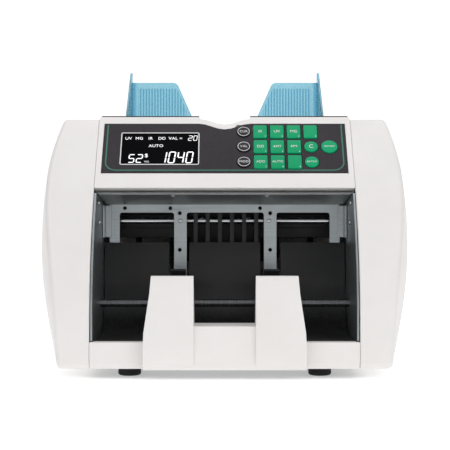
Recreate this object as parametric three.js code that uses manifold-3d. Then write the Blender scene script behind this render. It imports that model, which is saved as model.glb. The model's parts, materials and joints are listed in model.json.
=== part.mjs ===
// Desktop banknote counter, built as an assembly of separate pieces.
//
// Units are millimetres. +X is the operator's right, +Y runs from the operator to the back, +Z is up.
// Inside this file Y = 0 is the front face of the lower lip and Z = 0 is the surface under the feet.
// The exported group is shifted along Y, so that its origin is the middle of the footprint.
//
// How it works: notes lie in the hopper on top, pickup rollers push them one by one through the feed
// rollers, past the sensor bar, and the bladed stacker wheels lay them in the open pocket at the front.
import * as THREE from "three";
import { mergeVertices } from "three/addons/utils/BufferGeometryUtils.js";
import Module from "manifold-3d";

const wasm = await Module();
wasm.setup();

// ---------------------------------------------------------------- driving dimensions
const GAP = 0.4; // between pieces that touch or rest on each other
const WALL = 2.5; // moulded shell thickness
const SHEET = 1.5; // steel sheet of the inner frame

const noteWidth = 156; // the widest note that the machine is set up for at rest
const bodyBottom = 7; // underside of the covers
const bodyTop = 192; // top of the side covers
const bodyDepth = 232; // lip to rear wall
const footHeight = bodyBottom + 1; // each foot runs a little way up into the base
const coverHalfTop = 125; // side cover half-widths, at the top, at the crown and at the bottom
const coverHalfCrown = 143;
const coverHalfBottom = 128;
const coverHalfFront = 124; // half-width at the front edge, where the crown has run out
const crownZ = 92; // height at which the covers are widest
const crownDepth = 120; // distance behind the lip at which the covers are widest
const pocketHalf = 97; // half-width of the open pocket at the front
const windowFrameHalf = 91; // half-width of the window frame's flat face
const pocketBack = 98; // depth of the window frame at the back of the pocket
const lipTop = 26.5;
const throatFrontZ = 138; // upper edge of the pocket's mouth
const throatBackZ = 128; // where its ceiling meets the window frame

// The side covers' front edge, from the base up: the lip, the mouth, the panel and the top.
const profileFront = [
  [4, bodyBottom],
  [0.5, 13],
  [0, lipTop],
  [2, 52],
  [8, 81],
  [20, 109],
  [38, throatFrontZ],
  [46, 148],
  [81, 190],
  [85, bodyTop],
];
const panelFoot = { y: 46, z: 148 }; // lower and upper edge of the sloping control panel
const panelHead = { y: 83, z: 192.5 };
const lidTop = 194;
const lidBack = 93; // where the lid's top ledge ends and the hopper begins
const overlayHalf = 93; // half-width of the black panel overlay
const overlayThick = 1.2;
const scoopHalf = 20; // the dip in the lid's upper edge, for a thumb to reach the notes
const scoopDepth = 6;
const rearCornerDrop = 16; // how far the covers' rear top corner is rounded off

// ---------------------------------------------------------------- shapes and booleans
const materials = {};
function finish(name, color, roughness, metalness = 0, extra = {}) {
  materials[name] = new THREE.MeshStandardMaterial({ name, color, roughness, metalness, ...extra });
}

// A closed geometry as a manifold solid.
function solid(geometry) {
  const flat = (geometry.index ? geometry.toNonIndexed() : geometry).clone();
  const bare = new THREE.BufferGeometry().setAttribute("position", flat.getAttribute("position"));
  const merged = mergeVertices(bare, 1e-4);
  return new wasm.Manifold(
    new wasm.Mesh({
      numProp: 3,
      vertProperties: merged.attributes.position.array,
      triVerts: new Uint32Array(merged.index.array),
    }),
  );
}

// A manifold solid as a flat-shaded geometry.
function geometryOf(shape) {
  const mesh = shape.getMesh();
  const geometry = new THREE.BufferGeometry();
  geometry.setAttribute("position", new THREE.BufferAttribute(new Float32Array(mesh.vertProperties), 3));
  geometry.setIndex(new THREE.BufferAttribute(mesh.triVerts, 1));
  const faceted = geometry.toNonIndexed();
  faceted.computeVertexNormals();
  return faceted;
}

const join = (first, ...rest) => rest.reduce((all, one) => all.add(one), first);
const cut = (first, ...rest) => rest.reduce((all, one) => all.subtract(one), first);

function outline(points, holes = []) {
  const shape = new THREE.Shape(points.map(([u, v]) => new THREE.Vector2(u, v)));
  shape.holes = holes.map((hole) => new THREE.Path(hole.map(([u, v]) => new THREE.Vector2(u, v))));
  return shape;
}

const plain = (depth, curveSegments) => ({ depth, bevelEnabled: false, curveSegments });

// A (y, z) outline swept from x0 to x1.
function sweepX(shape, x0, x1, segments = 8) {
  const geometry = new THREE.ExtrudeGeometry(shape, plain(x1 - x0, segments));
  const turn = new THREE.Matrix4().set(0, 0, 1, x0, 1, 0, 0, 0, 0, 1, 0, 0, 0, 0, 0, 1);
  return solid(geometry.applyMatrix4(turn));
}

// An (x, z) outline swept from y0 to y1.
function sweepY(shape, y0, y1, segments = 8) {
  const geometry = new THREE.ExtrudeGeometry(shape, plain(y1 - y0, segments));
  const turn = new THREE.Matrix4().set(1, 0, 0, 0, 0, 0, -1, y1, 0, 1, 0, 0, 0, 0, 0, 1);
  return solid(geometry.applyMatrix4(turn));
}

// An (x, y) outline swept from z0 to z1.
function sweepZ(shape, z0, z1, segments = 8) {
  const geometry = new THREE.ExtrudeGeometry(shape, plain(z1 - z0, segments));
  return solid(geometry.translate(0, 0, z0));
}

function block(x0, x1, y0, y1, z0, z1) {
  const geometry = new THREE.BoxGeometry(x1 - x0, y1 - y0, z1 - z0);
  return solid(geometry.translate((x0 + x1) / 2, (y0 + y1) / 2, (z0 + z1) / 2));
}

// A rod along X, Y or Z, from one end to the other.
function rod(axis, from, to, a, b, radius, sides = 20) {
  const geometry = new THREE.CylinderGeometry(radius, radius, to - from, sides);
  const middle = (from + to) / 2;
  if (axis === "x") geometry.rotateZ(-Math.PI / 2).translate(middle, a, b);
  if (axis === "y") geometry.translate(a, middle, b);
  if (axis === "z") geometry.rotateX(Math.PI / 2).translate(a, b, middle);
  return solid(geometry);
}

// A rectangle with rounded corners, centred on (u, v).
function roundedRect(u, v, width, height, radius) {
  const shape = new THREE.Shape();
  const [a, b, c, d] = [u - width / 2, u + width / 2, v - height / 2, v + height / 2];
  shape.moveTo(a + radius, c).lineTo(b - radius, c).absarc(b - radius, c + radius, radius, -Math.PI / 2, 0);
  shape.lineTo(b, d - radius).absarc(b - radius, d - radius, radius, 0, Math.PI / 2);
  shape.lineTo(a + radius, d).absarc(a + radius, d - radius, radius, Math.PI / 2, Math.PI);
  shape.lineTo(a, c + radius).absarc(a + radius, c + radius, radius, Math.PI, Math.PI * 1.5);
  return shape;
}

const mirrorX = (shape) => shape.mirror([1, 0, 0]);

// Each body of pieces that move together is a group; every piece is a named mesh in one of them.
const machine = new THREE.Group();
function add(name, finishName, shape) {
  const mesh = new THREE.Mesh(geometryOf(shape), materials[finishName]);
  mesh.name = name;
  machine.add(mesh);
}

// ---------------------------------------------------------------- materials
finish("warm_white", 0xe9e6e4, 0.42);
finish("rear_grey", 0xd5d3d1, 0.5);
finish("panel_black", 0x2b282f, 0.35);
finish("display_glass", 0x050506, 0.08);
finish("key_green", 0x0fa06a, 0.4);
finish("key_dark", 0x1d1b20, 0.4);
finish("frame_steel", 0x8f9da3, 0.38, 0.9);
finish("dark_steel", 0x4a5052, 0.45, 0.8);
finish("shaft_steel", 0xc4c8ca, 0.22, 1);
finish("black_plastic", 0x121213, 0.5);
finish("rubber", 0x161617, 0.85);
finish("blue_clear", 0x6db8e0, 0.15, 0, { transparent: true, opacity: 0.6 });
finish("board_green", 0x175c39, 0.5);
finish("motor_metal", 0xa9abab, 0.35, 0.9);

// ---------------------------------------------------------------- housing
// How far the cover's outer face stands from the middle plane at a place on its side.
function coverHalf(y, z) {
  const up = z > crownZ ? (z - crownZ) / (bodyTop - crownZ) : (crownZ - z) / (crownZ - bodyBottom);
  const end = z > crownZ ? coverHalfTop : coverHalfBottom;
  const barrel = coverHalfCrown - (coverHalfCrown - end) * up ** 2;
  const front = coverHalfFront - (z < crownZ ? 4 * up ** 2 : 0);
  const rise = 1 - (1 - Math.min(Math.max(y, 0) / crownDepth, 1)) ** 2.4;
  const fall = 5 * (Math.max(y - crownDepth, 0) / (bodyDepth - crownDepth)) ** 2;
  return front + (barrel - front) * rise - fall;
}

// The solid under a cover's crowned outer face, from x = inner out to the face less a wall.
function crownBlock(inner, wall) {
  const rows = 12;
  const columns = 12;
  const [y0, y1, z0, z1] = [-5, bodyDepth + 5, 0, bodyTop + 5];
  const points = [];
  const faces = [];
  const at = (side, i, j) => side * (rows + 1) * (columns + 1) + i * (columns + 1) + j;
  for (const side of [0, 1]) {
    for (let i = 0; i <= rows; i++) {
      for (let j = 0; j <= columns; j++) {
        const y = y0 + ((y1 - y0) * j) / columns;
        const z = z0 + ((z1 - z0) * i) / rows;
        points.push(side ? coverHalf(y, z) - wall : inner, y, z);
      }
    }
  }
  const quad = (a, b, c, d) => faces.push(a, b, c, a, c, d);
  for (let i = 0; i < rows; i++) {
    for (let j = 0; j < columns; j++) {
      quad(at(1, i, j), at(1, i, j + 1), at(1, i + 1, j + 1), at(1, i + 1, j));
      quad(at(0, i, j), at(0, i + 1, j), at(0, i + 1, j + 1), at(0, i, j + 1));
    }
    quad(at(0, i, 0), at(1, i, 0), at(1, i + 1, 0), at(0, i + 1, 0));
    quad(at(0, i, columns), at(0, i + 1, columns), at(1, i + 1, columns), at(1, i, columns));
  }
  for (let j = 0; j < columns; j++) {
    quad(at(0, 0, j), at(0, 0, j + 1), at(1, 0, j + 1), at(1, 0, j));
    quad(at(0, rows, j), at(1, rows, j), at(1, rows, j + 1), at(0, rows, j + 1));
  }
  const geometry = new THREE.BufferGeometry();
  geometry.setAttribute("position", new THREE.Float32BufferAttribute(points, 3)).setIndex(faces);
  return solid(geometry);
}

// The side outline of the whole body, counter-clockwise from the front lower corner.
function bodyProfile() {
  const rear = [
    [bodyDepth, bodyBottom],
    [bodyDepth, bodyTop - rearCornerDrop],
    [bodyDepth - 5, bodyTop - 5],
    [bodyDepth - rearCornerDrop, bodyTop],
  ];
  return [...rear, ...[...profileFront].reverse()];
}

// A closed counter-clockwise outline moved inwards by a distance.
function inset(points, distance) {
  return points.map((point, i) => {
    const before = points[(i + points.length - 1) % points.length];
    const after = points[(i + 1) % points.length];
    const a = new THREE.Vector2(point[0] - before[0], point[1] - before[1]).normalize();
    const b = new THREE.Vector2(after[0] - point[0], after[1] - point[1]).normalize();
    const bisector = new THREE.Vector2(-a.y - b.y, a.x + b.x).normalize();
    const reach = distance / Math.max(0.3, bisector.dot(new THREE.Vector2(-a.y, a.x)));
    return [point[0] + bisector.x * reach, point[1] + bisector.y * reach];
  });
}

const coverInner = pocketHalf + GAP; // where the side covers begin

function rightCover() {
  const far = coverHalfCrown + 10;
  const outer = crownBlock(coverInner, 0).intersect(sweepX(outline(bodyProfile()), coverInner - 1, far));
  const hollow = crownBlock(coverInner - 5, WALL).intersect(
    sweepX(outline(inset(bodyProfile(), WALL)), coverInner - 5, far),
  );
  const vents = [0, 1, 2, 3, 4].map((i) =>
    sweepX(roundedRect(172, 44 + i * 9, 46, 4, 1.9), coverHalfCrown - 25, far, 3),
  );
  return cut(outer, hollow, ...vents);
}

// The control panel's slope has its own axes: x, v up the slope from its foot, and w out of it.
const slopeAngle = Math.atan2(panelHead.z - panelFoot.z, panelHead.y - panelFoot.y);
const slopeLength = Math.hypot(panelHead.z - panelFoot.z, panelHead.y - panelFoot.y);
const onSlope = (shape) =>
  shape.rotate([THREE.MathUtils.radToDeg(slopeAngle), 0, 0]).translate([0, panelFoot.y, panelFoot.z]);
const slopePrism = (shape, low, high, segments = 4) => onSlope(sweepZ(shape, low, high, segments));

// The scoop's edge below a height up the slope, from right to left.
function scoopLine(upper) {
  const steps = 8;
  return Array.from({ length: steps + 1 }, (_, i) => {
    const x = scoopHalf - (2 * scoopHalf * i) / steps;
    return [x, upper - (scoopDepth / 2) * (1 + Math.cos((Math.PI * x) / scoopHalf))];
  });
}

const overlayLow = 1.5;
const overlayHigh = slopeLength - 5.4;

// The overlay's outline on the slope, grown by a margin.
function overlayOutline(margin) {
  const half = overlayHalf + margin;
  const [low, high] = [overlayLow - margin, overlayHigh + margin];
  return [[-half, low], [half, low], [half, high], ...scoopLine(high), [-half, high]];
}

const displayWindow = { x: -49.5, v: 26.6, width: 59, height: 32 };
const keyField = { x: 47.9, v: 28, width: 79, height: 46.8 };
const lidHalf = pocketHalf - GAP;

// The white lid that carries the control panel: a bent shell from the mouth's upper edge to the hopper.
function panelLid() {
  const mouth = [38, throatFrontZ];
  const outer = [
    mouth,
    [mouth[0] + 11, mouth[1] - 3.6],
    [mouth[0] + 11.6, mouth[1] - 1.8],
    [mouth[0] + 4, mouth[1] + 1.4],
    [panelFoot.y + 2.2, panelFoot.z - 1.4],
    [panelHead.y + 2.2, panelHead.z - 1.6],
    [lidBack - WALL, lidTop - WALL],
    [lidBack - WALL, lidTop - 16],
    [lidBack, lidTop - 16],
    [lidBack, lidTop],
    [panelHead.y + 2, lidTop],
    [panelHead.y, panelHead.z],
    [panelFoot.y, panelFoot.z],
  ];
  const shell = sweepX(outline(outer), -lidHalf, lidHalf);
  const cheek = inset(
    [[lidBack, lidTop - 16], [lidBack, lidTop], [85, lidTop], [83, 192.5], [46, 148], [39.5, 139.5]],
    0.2,
  );
  const cheeks = [-lidHalf, lidHalf - WALL].map((x) => sweepX(outline(cheek), x, x + WALL));
  const above = 30;
  const over = slopeLength + above;
  const dip = [...scoopLine(slopeLength), [-scoopHalf, over], [scoopHalf, over]];
  const windows = [displayWindow, keyField].map((w) =>
    slopePrism(roundedRect(w.x, w.v, w.width, w.height, 2), -above, above),
  );
  return cut(
    join(shell, ...cheeks),
    slopePrism(outline(dip), -above, above),
    slopePrism(outline(overlayOutline(0.3)), -overlayThick - GAP, above),
    ...windows,
  );
}

// ---------------------------------------------------------------- control panel
const keyWidth = 10.6;
const keyHeight = 13.4;
const keyRise = 0.9; // how far a key stands above the overlay
const keyTravel = 0.6;
const keyBelow = 3.2; // how far a key reaches under the overlay
const keyGap = 0.5; // between a key and its hole
const keyRows = [43.6, 28, 12.4]; // heights up the slope
const keyColumns = [27.3, 40.2, 53.1, 66];

// Every key: its name, place, finish and either a width and height or a radius.
const square = (name, column, row) => ({
  name, x: keyColumns[column], v: keyRows[row], width: keyWidth, height: keyHeight, finish: "key_green",
});
const round = (name, x, row, radius, finishName) => {
  return { name, x, v: keyRows[row], radius, finish: finishName };
};
const keys = [
  ...[0, 1, 2, 3].map((column) => square(`key_top_${column + 1}`, column, 0)),
  ...[0, 1, 2].map((column) => square(`key_middle_${column + 1}`, column, 1)),
  ...[0, 1, 2].map((column) => square(`key_lower_${column + 1}`, column, 2)),
  ...["currency", "value", "mode"].map((name, row) => round(`key_${name}`, 14.6, row, 5.2, "key_dark")),
  round("key_clear", keyColumns[3], 1, 5.3, "key_green"),
  round("key_batch", keyColumns[3], 2, 5.3, "key_green"),
  round("key_restart", 80, 1, 6.3, "key_green"),
];

// A key's outline on the slope, grown by a margin.
function keyOutline(key, margin) {
  if (!key.radius) {
    return roundedRect(key.x, key.v, key.width + 2 * margin, key.height + 2 * margin, 1 + margin);
  }
  const shape = new THREE.Shape();
  shape.absarc(key.x, key.v, key.radius + margin, 0, 2 * Math.PI);
  return shape;
}

const keySegments = (key) => (key.radius ? 10 : 2);

function panelOverlay() {
  const plate = slopePrism(outline(overlayOutline(0)), -overlayThick, 0);
  const holes = keys.map((key) => slopePrism(keyOutline(key, keyGap), -9, 9, keySegments(key)));
  const w = displayWindow;
  return cut(plate, ...holes, slopePrism(roundedRect(w.x, w.v, w.width, w.height, 1), -9, 9));
}

function panelPieces() {
  add("panel_lid", "warm_white", panelLid());
  add("panel_overlay", "panel_black", panelOverlay());
  const w = displayWindow;
  const clear = 2 * GAP;
  const glass = slopePrism(roundedRect(w.x, w.v, w.width - clear, w.height - clear, 0.8), -overlayThick, 0.2);
  add("display_window", "display_glass", glass);
  for (const key of keys) {
    add(key.name, key.finish, slopePrism(keyOutline(key, 0), -keyBelow, keyRise, keySegments(key)));
  }
  const boardLow = -keyBelow - 3;
  const board = slopePrism(roundedRect(2, 28, 176, 40, 1), boardLow, boardLow + 1.6);
  const module = slopePrism(roundedRect(w.x, w.v, 54, 27, 1), boardLow + 1.2, -overlayThick - GAP);
  add("panel_board", "board_green", join(board, module));
}

// ---------------------------------------------------------------- front and base
const plateHalf = pocketHalf - SHEET - GAP; // what fits between the steel side plates
const lipChamfer = 13;

function frontLip() {
  const front = [
    [0, lipChamfer],
    [3, bodyBottom],
    [3 + WALL, bodyBottom],
    [3 + WALL, bodyBottom + WALL],
    [WALL, lipChamfer + 1],
    [WALL, lipTop],
    [0.6, lipTop],
    [0, lipTop - 0.6],
  ];
  const ledge = block(-plateHalf, plateHalf, WALL - 0.5, 9, lipTop - WALL, lipTop);
  return join(sweepX(outline(front), -lidHalf, lidHalf), ledge);
}

// The two prongs lean outwards as wedges, and a low bridge joins them.
const prongInner = 22.2; // half-width of the gap between the prongs
const prongOuterTop = 52;
const prongOuterFoot = 58.4;
const prongTop = 74.5;
const bridgeTop = 38.5;
const noteLean = { low: [27, 33.5], high: [-3.6, 73] }; // the line in (y, z) along which the front note rests

function stackerPlate() {
  const face = [
    [noteLean.low[0], lipTop + GAP],
    noteLean.low,
    noteLean.high,
    [-5, prongTop],
    [-7.6, prongTop - 0.4],
    [-8.4, prongTop - 2],
    [-9.5, 46],
    [-9.6, 24],
    [-8.6, lipChamfer],
    [-5.5, bodyBottom],
    [-GAP, bodyBottom],
    [-GAP, lipTop + GAP],
  ];
  const hollow = inset(
    [
      [noteLean.low[0], 20],
      noteLean.low,
      noteLean.high,
      [-8.4, prongTop - 4],
      [-9.5, 46],
      [-9.5, 20],
    ],
    WALL,
  );
  const flank = [
    [prongOuterFoot, 0],
    [prongOuterFoot, 22],
    [prongOuterFoot - 0.6, 34],
    [prongOuterTop + 1.6, 62],
  ];
  const prongShape = [...flank, [prongOuterTop, 80], [prongInner, 80], [prongInner, 0]];
  const raw = sweepX(outline(face), -prongOuterFoot, prongOuterFoot);
  const right = raw.intersect(sweepY(outline(prongShape), -20, 40));
  const bridgeCut = block(-70, 70, -20, 40, bridgeTop, 90);
  const frontCut = block(-70, 70, -20, -7.4, 0, 90);
  const middle = block(-prongInner - 1, prongInner + 1, -20, 40, 0, 90);
  const bridge = cut(raw, bridgeCut, frontCut).intersect(middle);
  const cavity = sweepX(outline(hollow), prongInner + WALL, prongOuterTop - WALL);
  const well = block(prongInner + WALL, prongOuterTop - WALL, WALL - 6, noteLean.low[0] - 4, 20, lipTop + 6);
  const hollows = cut(cavity, block(-80, 80, -30, 50, 0, lipTop + 2 * GAP)).add(well);
  return cut(join(right, mirrorX(right), bridge), hollows, mirrorX(hollows));
}

const footPlaces = {
  front_left: [-70, 26],
  front_right: [70, 26],
  rear_left: [-70, 206],
  rear_right: [70, 206],
};
const footRadius = 8.5;
const trayTop = bodyBottom + 2.5;

function baseTray() {
  const half = plateHalf;
  const [front, back] = [8, bodyDepth - 6];
  const tray = cut(
    block(-half, half, front, back, bodyBottom, 20),
    block(-half + 2, half - 2, front + 2, back - 2, trayTop, 30),
  );
  const bores = Object.values(footPlaces).map(([x, y]) => rod("z", 0, 30, x, y, 3.4, 12));
  return cut(tray, ...bores);
}

function foot([x, y]) {
  const radius = footRadius;
  const profile = [[0, 0], [radius - 1, 0], [radius, 1], [radius - 0.6, bodyBottom - GAP]];
  const stem = [[3, bodyBottom - GAP], [3, trayTop + 1], [0, trayTop + 1]];
  const points = [...profile, ...stem].map(([r, z]) => new THREE.Vector2(r, z));
  return solid(new THREE.LatheGeometry(points, 20).rotateX(Math.PI / 2).translate(x, y, 0));
}

function housingPieces() {
  add("right_side_cover", "warm_white", rightCover());
  add("left_side_cover", "warm_white", mirrorX(rightCover()));
  add("front_lip", "warm_white", frontLip());
  add("stacker_front_plate", "warm_white", stackerPlate());
  add("base_tray", "dark_steel", baseTray());
  for (const [name, place] of Object.entries(footPlaces)) add(`foot_${name}`, "rubber", foot(place));
}

// ---------------------------------------------------------------- inner frame
const plateOuter = pocketHalf; // outer face of each steel side plate
const bed = { front: [95, 158], back: [186, 189.8] }; // upper surface of the hopper's bed, in (y, z)
const bedSlope = (bed.back[1] - bed.front[1]) / (bed.back[0] - bed.front[0]);
const bedZ = (y) => bed.front[1] + (y - bed.front[0]) * bedSlope;

// Shafts: place in (y, z), shaft radius, and the radius at which a belt runs on each one's pulley.
const bearingGap = 0.25;
const shafts = {
  feed: { y: 108, z: 143, radius: 3, pulley: 9 },
  pickup: { y: 124, z: 156.4, radius: 3, pulley: 9 },
  transport: { y: 110, z: 113, radius: 2.5, pulley: 9 },
  motor: { y: 172, z: 62, radius: 2.5, pulley: 8 },
  stacker: { y: 69, z: 50, radius: 3, pulley: 14 },
};
const stackerDrive = 8; // radius of the pulley on the feed shaft's right end that drives the stacker
// The belts' distance from the middle, their section, and their gap to the pulleys.
const belt = { from: pocketHalf + 4, width: 6, thick: 1.2, clear: 0.3 };

const boreFor = (shaft, from, to) => rod("x", from, to, shaft.y, shaft.z, shaft.radius + bearingGap, 16);

function sidePlate() {
  const points = [
    [12, trayTop + GAP],
    [bodyDepth - 12, trayTop + GAP],
    [bodyDepth - 12, 170],
    [bodyDepth - 22, 184],
    [94, 184],
    [94, 176],
    [56, 139],
    [51, 132.6],
    [37, 134],
    [22, 109],
    [10, 81],
    [4.2, 52],
    [4.2, lipTop + GAP],
    [12, lipTop + GAP],
  ];
  const [inner, outer] = [plateOuter - SHEET, plateOuter];
  const lightening = [
    [[190, 120], [190, 165], [150, 165], [150, 120]],
    [[140, 30], [140, 90], [118, 90], [118, 30]],
  ];
  const plate = sweepX(outline(points, lightening), inner, outer);
  return cut(plate, ...Object.values(shafts).map((shaft) => boreFor(shaft, inner - 5, outer + 5)));
}

// The window frame across the back of the pocket, with two posts that part it in three.
function windowFrame() {
  const [top, bottom, sill] = [throatBackZ, 60, 66];
  const half = windowFrameHalf;
  const header = 119.5;
  const windows = [[-half + 8, -40], [-30, 31], [41, half - 8]].map(([x0, x1]) =>
    sweepY(roundedRect((x0 + x1) / 2, (header + sill) / 2, x1 - x0, header - sill, 2), 90, 110, 3),
  );
  const places = [[-79, 123], [-43, 123], [-35.5, 119], [28, 123], [36, 119], [-35.5, 90], [36, 90]];
  const holes = places.map(([x, z]) =>
    rod("y", 90, 110, x, z, 1.5, 10),
  );
  const frame = block(-half, half, pocketBack, pocketBack + SHEET, bottom, top);
  const [low, high] = [100, throatBackZ - 3];
  const reach = plateHalf - half + SHEET;
  const tabs = [-plateHalf, half - SHEET].map((x) =>
    block(x, x + reach, pocketBack - 1, pocketBack + SHEET, low, high),
  );
  const flanges = [-plateHalf, plateHalf - SHEET].map((x) => block(x, x + SHEET, 82, pocketBack, low, high));
  return cut(join(frame, ...tabs, ...flanges), ...windows, ...holes);
}

// The dark plate that closes the pocket's roof, sloping down to the window frame.
function throatCeiling() {
  const front = [50.5, throatFrontZ - 3.6];
  const back = [pocketBack - GAP, throatBackZ - 0.8];
  const line = [front, back, [back[0], back[1] - SHEET], [front[0], front[1] - SHEET]];
  return sweepX(outline(line), -plateHalf, plateHalf);
}

// The black chute: floor of the pocket, then a curved back with slots for the stacker wheels.
const wheelX = 36;
const wheelWidth = 12;
const wheelRadius = 27;
const wheelSlotHalf = wheelWidth / 2 + 2;
function chute() {
  const { y, z } = shafts.stacker;
  const thick = 2;
  const floorZ = lipTop - thick;
  const curve = Array.from({ length: 7 }, (_, i) => {
    const angle = -Math.PI / 2 + (Math.PI * 0.62 * i) / 6;
    return [y - 8 + 34 * Math.cos(angle), z + 8 + 34 * Math.sin(angle)];
  });
  const upper = [...curve].reverse().map(([a, b]) => [a - thick * 0.6, b + thick]);
  const outer = [[pocketBack - GAP, 96], ...upper];
  const line = [[9 + GAP, floorZ], [40, floorZ - 1], ...curve, [pocketBack - GAP, 93], ...outer];
  line.push([40, floorZ + thick - 1], [9 + GAP, floorZ + thick]);
  const floor = sweepX(outline(line), -plateHalf + GAP, plateHalf - GAP);
  const slots = [-wheelX, wheelX].map((x) => block(x - wheelSlotHalf, x + wheelSlotHalf, 44, 120, 0, 120));
  return cut(floor, ...slots, boreFor(shafts.stacker, -120, 120));
}

// Ribbed guide behind the middle window, which the notes slide down.
function noteGuide() {
  const { y, z } = shafts.transport;
  const back = block(-28, 29, y + 12, y + 14, 84, 128);
  const ribs = Array.from({ length: 6 }, (_, i) => {
    const x = -23 + i * 9.6;
    return block(x - 1.6, x + 1.6, pocketBack + SHEET + 1.2, y + 12.5, 86, 124);
  });
  const clear = rod("x", -60, 60, y, z, shafts.transport.radius + 1, 16);
  return cut(join(back, ...ribs), clear);
}

const pickupX = 26;
const rollerWidth = 14;
const guideHalf = noteWidth / 2 + 2; // inner face of each hopper guide at rest
const guideThick = 2;
const guideBack = 203; // front face of the guides' wings, which the notes lean on
const wingReach = 52; // how far each wing reaches in from its side plate
const guideTravel = { inwards: 25, outwards: 8 };
const guideTongue = 170; // depth of the tongue that runs in the bed's track

// The hopper's bed, a bent sheet with slots where the pickup rollers reach the notes.
function hopperBed() {
  const [front, back] = [bed.front, bed.back];
  const under = [[back[0], back[1] - 2], [front[0] + 2, front[1] - 2], [front[0] + 2, 150]];
  const top = [front, back, ...under, [front[0], 150]];
  const sheet = sweepX(outline(top), -plateHalf, plateHalf);
  const slots = [-pickupX, pickupX].map((x) => {
    const half = rollerWidth / 2 + 1.5;
    return block(x - half, x + half, shafts.pickup.y - 14, shafts.pickup.y + 14, 140, 190);
  });
  const [inner, outer] = [guideHalf - guideTravel.inwards - 4, guideHalf + guideTravel.outwards + 4];
  const track = block(inner, outer, guideTongue - 1.6, guideTongue + 1.6, 150, 200);
  return cut(sheet, ...slots, track, mirrorX(track));
}

// The black wall between the lid and the hopper, which holds the gap screw.
const screwPlace = { y: 101, z: 176 };
function gapBracket() {
  const [y, low, high] = [lidBack + GAP, bed.front[1] + 8, lidTop - 1.2];
  const rim = block(-lidHalf, lidHalf, y, y + 1.6, bodyTop - 7, lidTop + 1.4);
  const wall = block(-plateHalf, plateHalf, y, y + 1.6, low, high);
  const shelf = block(-10, 10, lidBack + 1, lidBack + 16, screwPlace.z - 3, screwPlace.z - 1);
  const dip = block(-scoopHalf, scoopHalf, 80, 97, lidTop - scoopDepth - 2, lidTop + 5);
  const bore = rod("z", 150, 200, 0, screwPlace.y + 1, 2 + bearingGap, 14);
  return cut(join(wall, rim, shelf), dip, bore);
}

function gapScrew() {
  const profile = [[0, -9], [2, -9], [2, GAP], [6, GAP], [6, 7], [5, 8], [0, 8]];
  const points = profile.map(([r, z]) => new THREE.Vector2(r, z));
  const knob = new THREE.LatheGeometry(points, 18).rotateX(Math.PI / 2);
  return solid(knob.translate(0, screwPlace.y + 1, screwPlace.z));
}

// ---------------------------------------------------------------- hopper guides
function hopperGuide() {
  const clear = 0.6;
  const onBed = (y) => [y, bedZ(y) + clear];
  const overTop = bodyTop + 1;
  const side = [
    onBed(104),
    onBed(182),
    [183, overTop],
    [207, overTop],
    [207, 236],
    [204, 240],
    [201, 241],
    [146, 198],
    [112, 172],
  ];
  const plate = sweepX(outline(side), guideHalf, guideHalf + guideThick);
  const inner = guideHalf - wingReach;
  const crest = [[inner + 18.5, 229], [inner + 21, 231.4], [inner + 24.5, 232.4], [guideHalf + 1, 232.4]];
  const face = [[inner, overTop], [inner + 1.5, 203], ...crest];
  const wing = sweepY(outline([...face, [guideHalf + 1, overTop]]), guideBack, guideBack + guideThick);
  const ribs = Array.from({ length: 7 }, (_, i) => {
    const x = guideHalf - 4 - i * 4;
    return block(x - 0.7, x + 0.7, guideBack - 0.7, guideBack + 0.5, overTop + 3, 228);
  });
  const z = bedZ(guideTongue);
  const tongue = block(guideHalf - 1, guideHalf + 3, guideTongue - 1, guideTongue + 1, z - 7, z + 3);
  return join(plate, wing, ...ribs, tongue);
}

// ---------------------------------------------------------------- rear housing and door
const door = { half: 76, low: 62, high: 166, gap: 0.8 };
const hinge = { y: bodyDepth + 1.2, z: 60, radius: 2.8, pin: 1.4, end: 60, knuckle: 9 };
const inlet = { x: 64, z: 36, width: 28, height: 21 };
const rocker = { x: 36, z: 36, width: 14, height: 20 };
const rearInside = bodyDepth - 12; // how deep the cutters of the rear openings reach, and how far out
const rearOutside = bodyDepth + 8;

function rearHousing() {
  const rearFace = bodyDepth - WALL;
  const arch = [
    [rearFace, bodyBottom],
    [bodyDepth, bodyBottom],
    [bodyDepth, bodyTop - rearCornerDrop],
    [bodyDepth - 5, bodyTop - 5],
    [bodyDepth - rearCornerDrop, bodyTop],
    [bed.back[0] + 1, bodyTop],
    [bed.back[0] + 1, bodyTop - WALL],
    [bodyDepth - rearCornerDrop - 1, bodyTop - WALL],
    [bodyDepth - 6.8, bodyTop - 6.8],
    [rearFace, bodyTop - rearCornerDrop - 1],
  ];
  const shell = sweepX(outline(arch), -lidHalf, lidHalf);
  const doorway = block(-door.half, door.half, rearInside, rearOutside, door.low, door.high);
  const sockets = [inlet, rocker].map((s) => {
    const [w, h] = [s.width / 2 + GAP, s.height / 2 + GAP];
    return block(s.x - w, s.x + w, rearInside, rearOutside, s.z - h, s.z + h);
  });
  const { end, knuckle, radius, pin, y, z } = hinge;
  const knuckles = [end + 0.5, -end - 0.5 - knuckle].map((x) => {
    const web = block(x, x + knuckle, bodyDepth - 1, y, z - radius, z);
    return join(rod("x", x, x + knuckle, y, z, radius, 16), web);
  });
  const relief = rod("x", -end - 0.4, end + 0.4, y, z, radius + 0.4, 16);
  const bore = rod("x", -end - knuckle - 1, end + knuckle + 1, y, z, pin + bearingGap, 12);
  return cut(join(cut(shell, doorway, ...sockets, relief), ...knuckles), bore);
}

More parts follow.
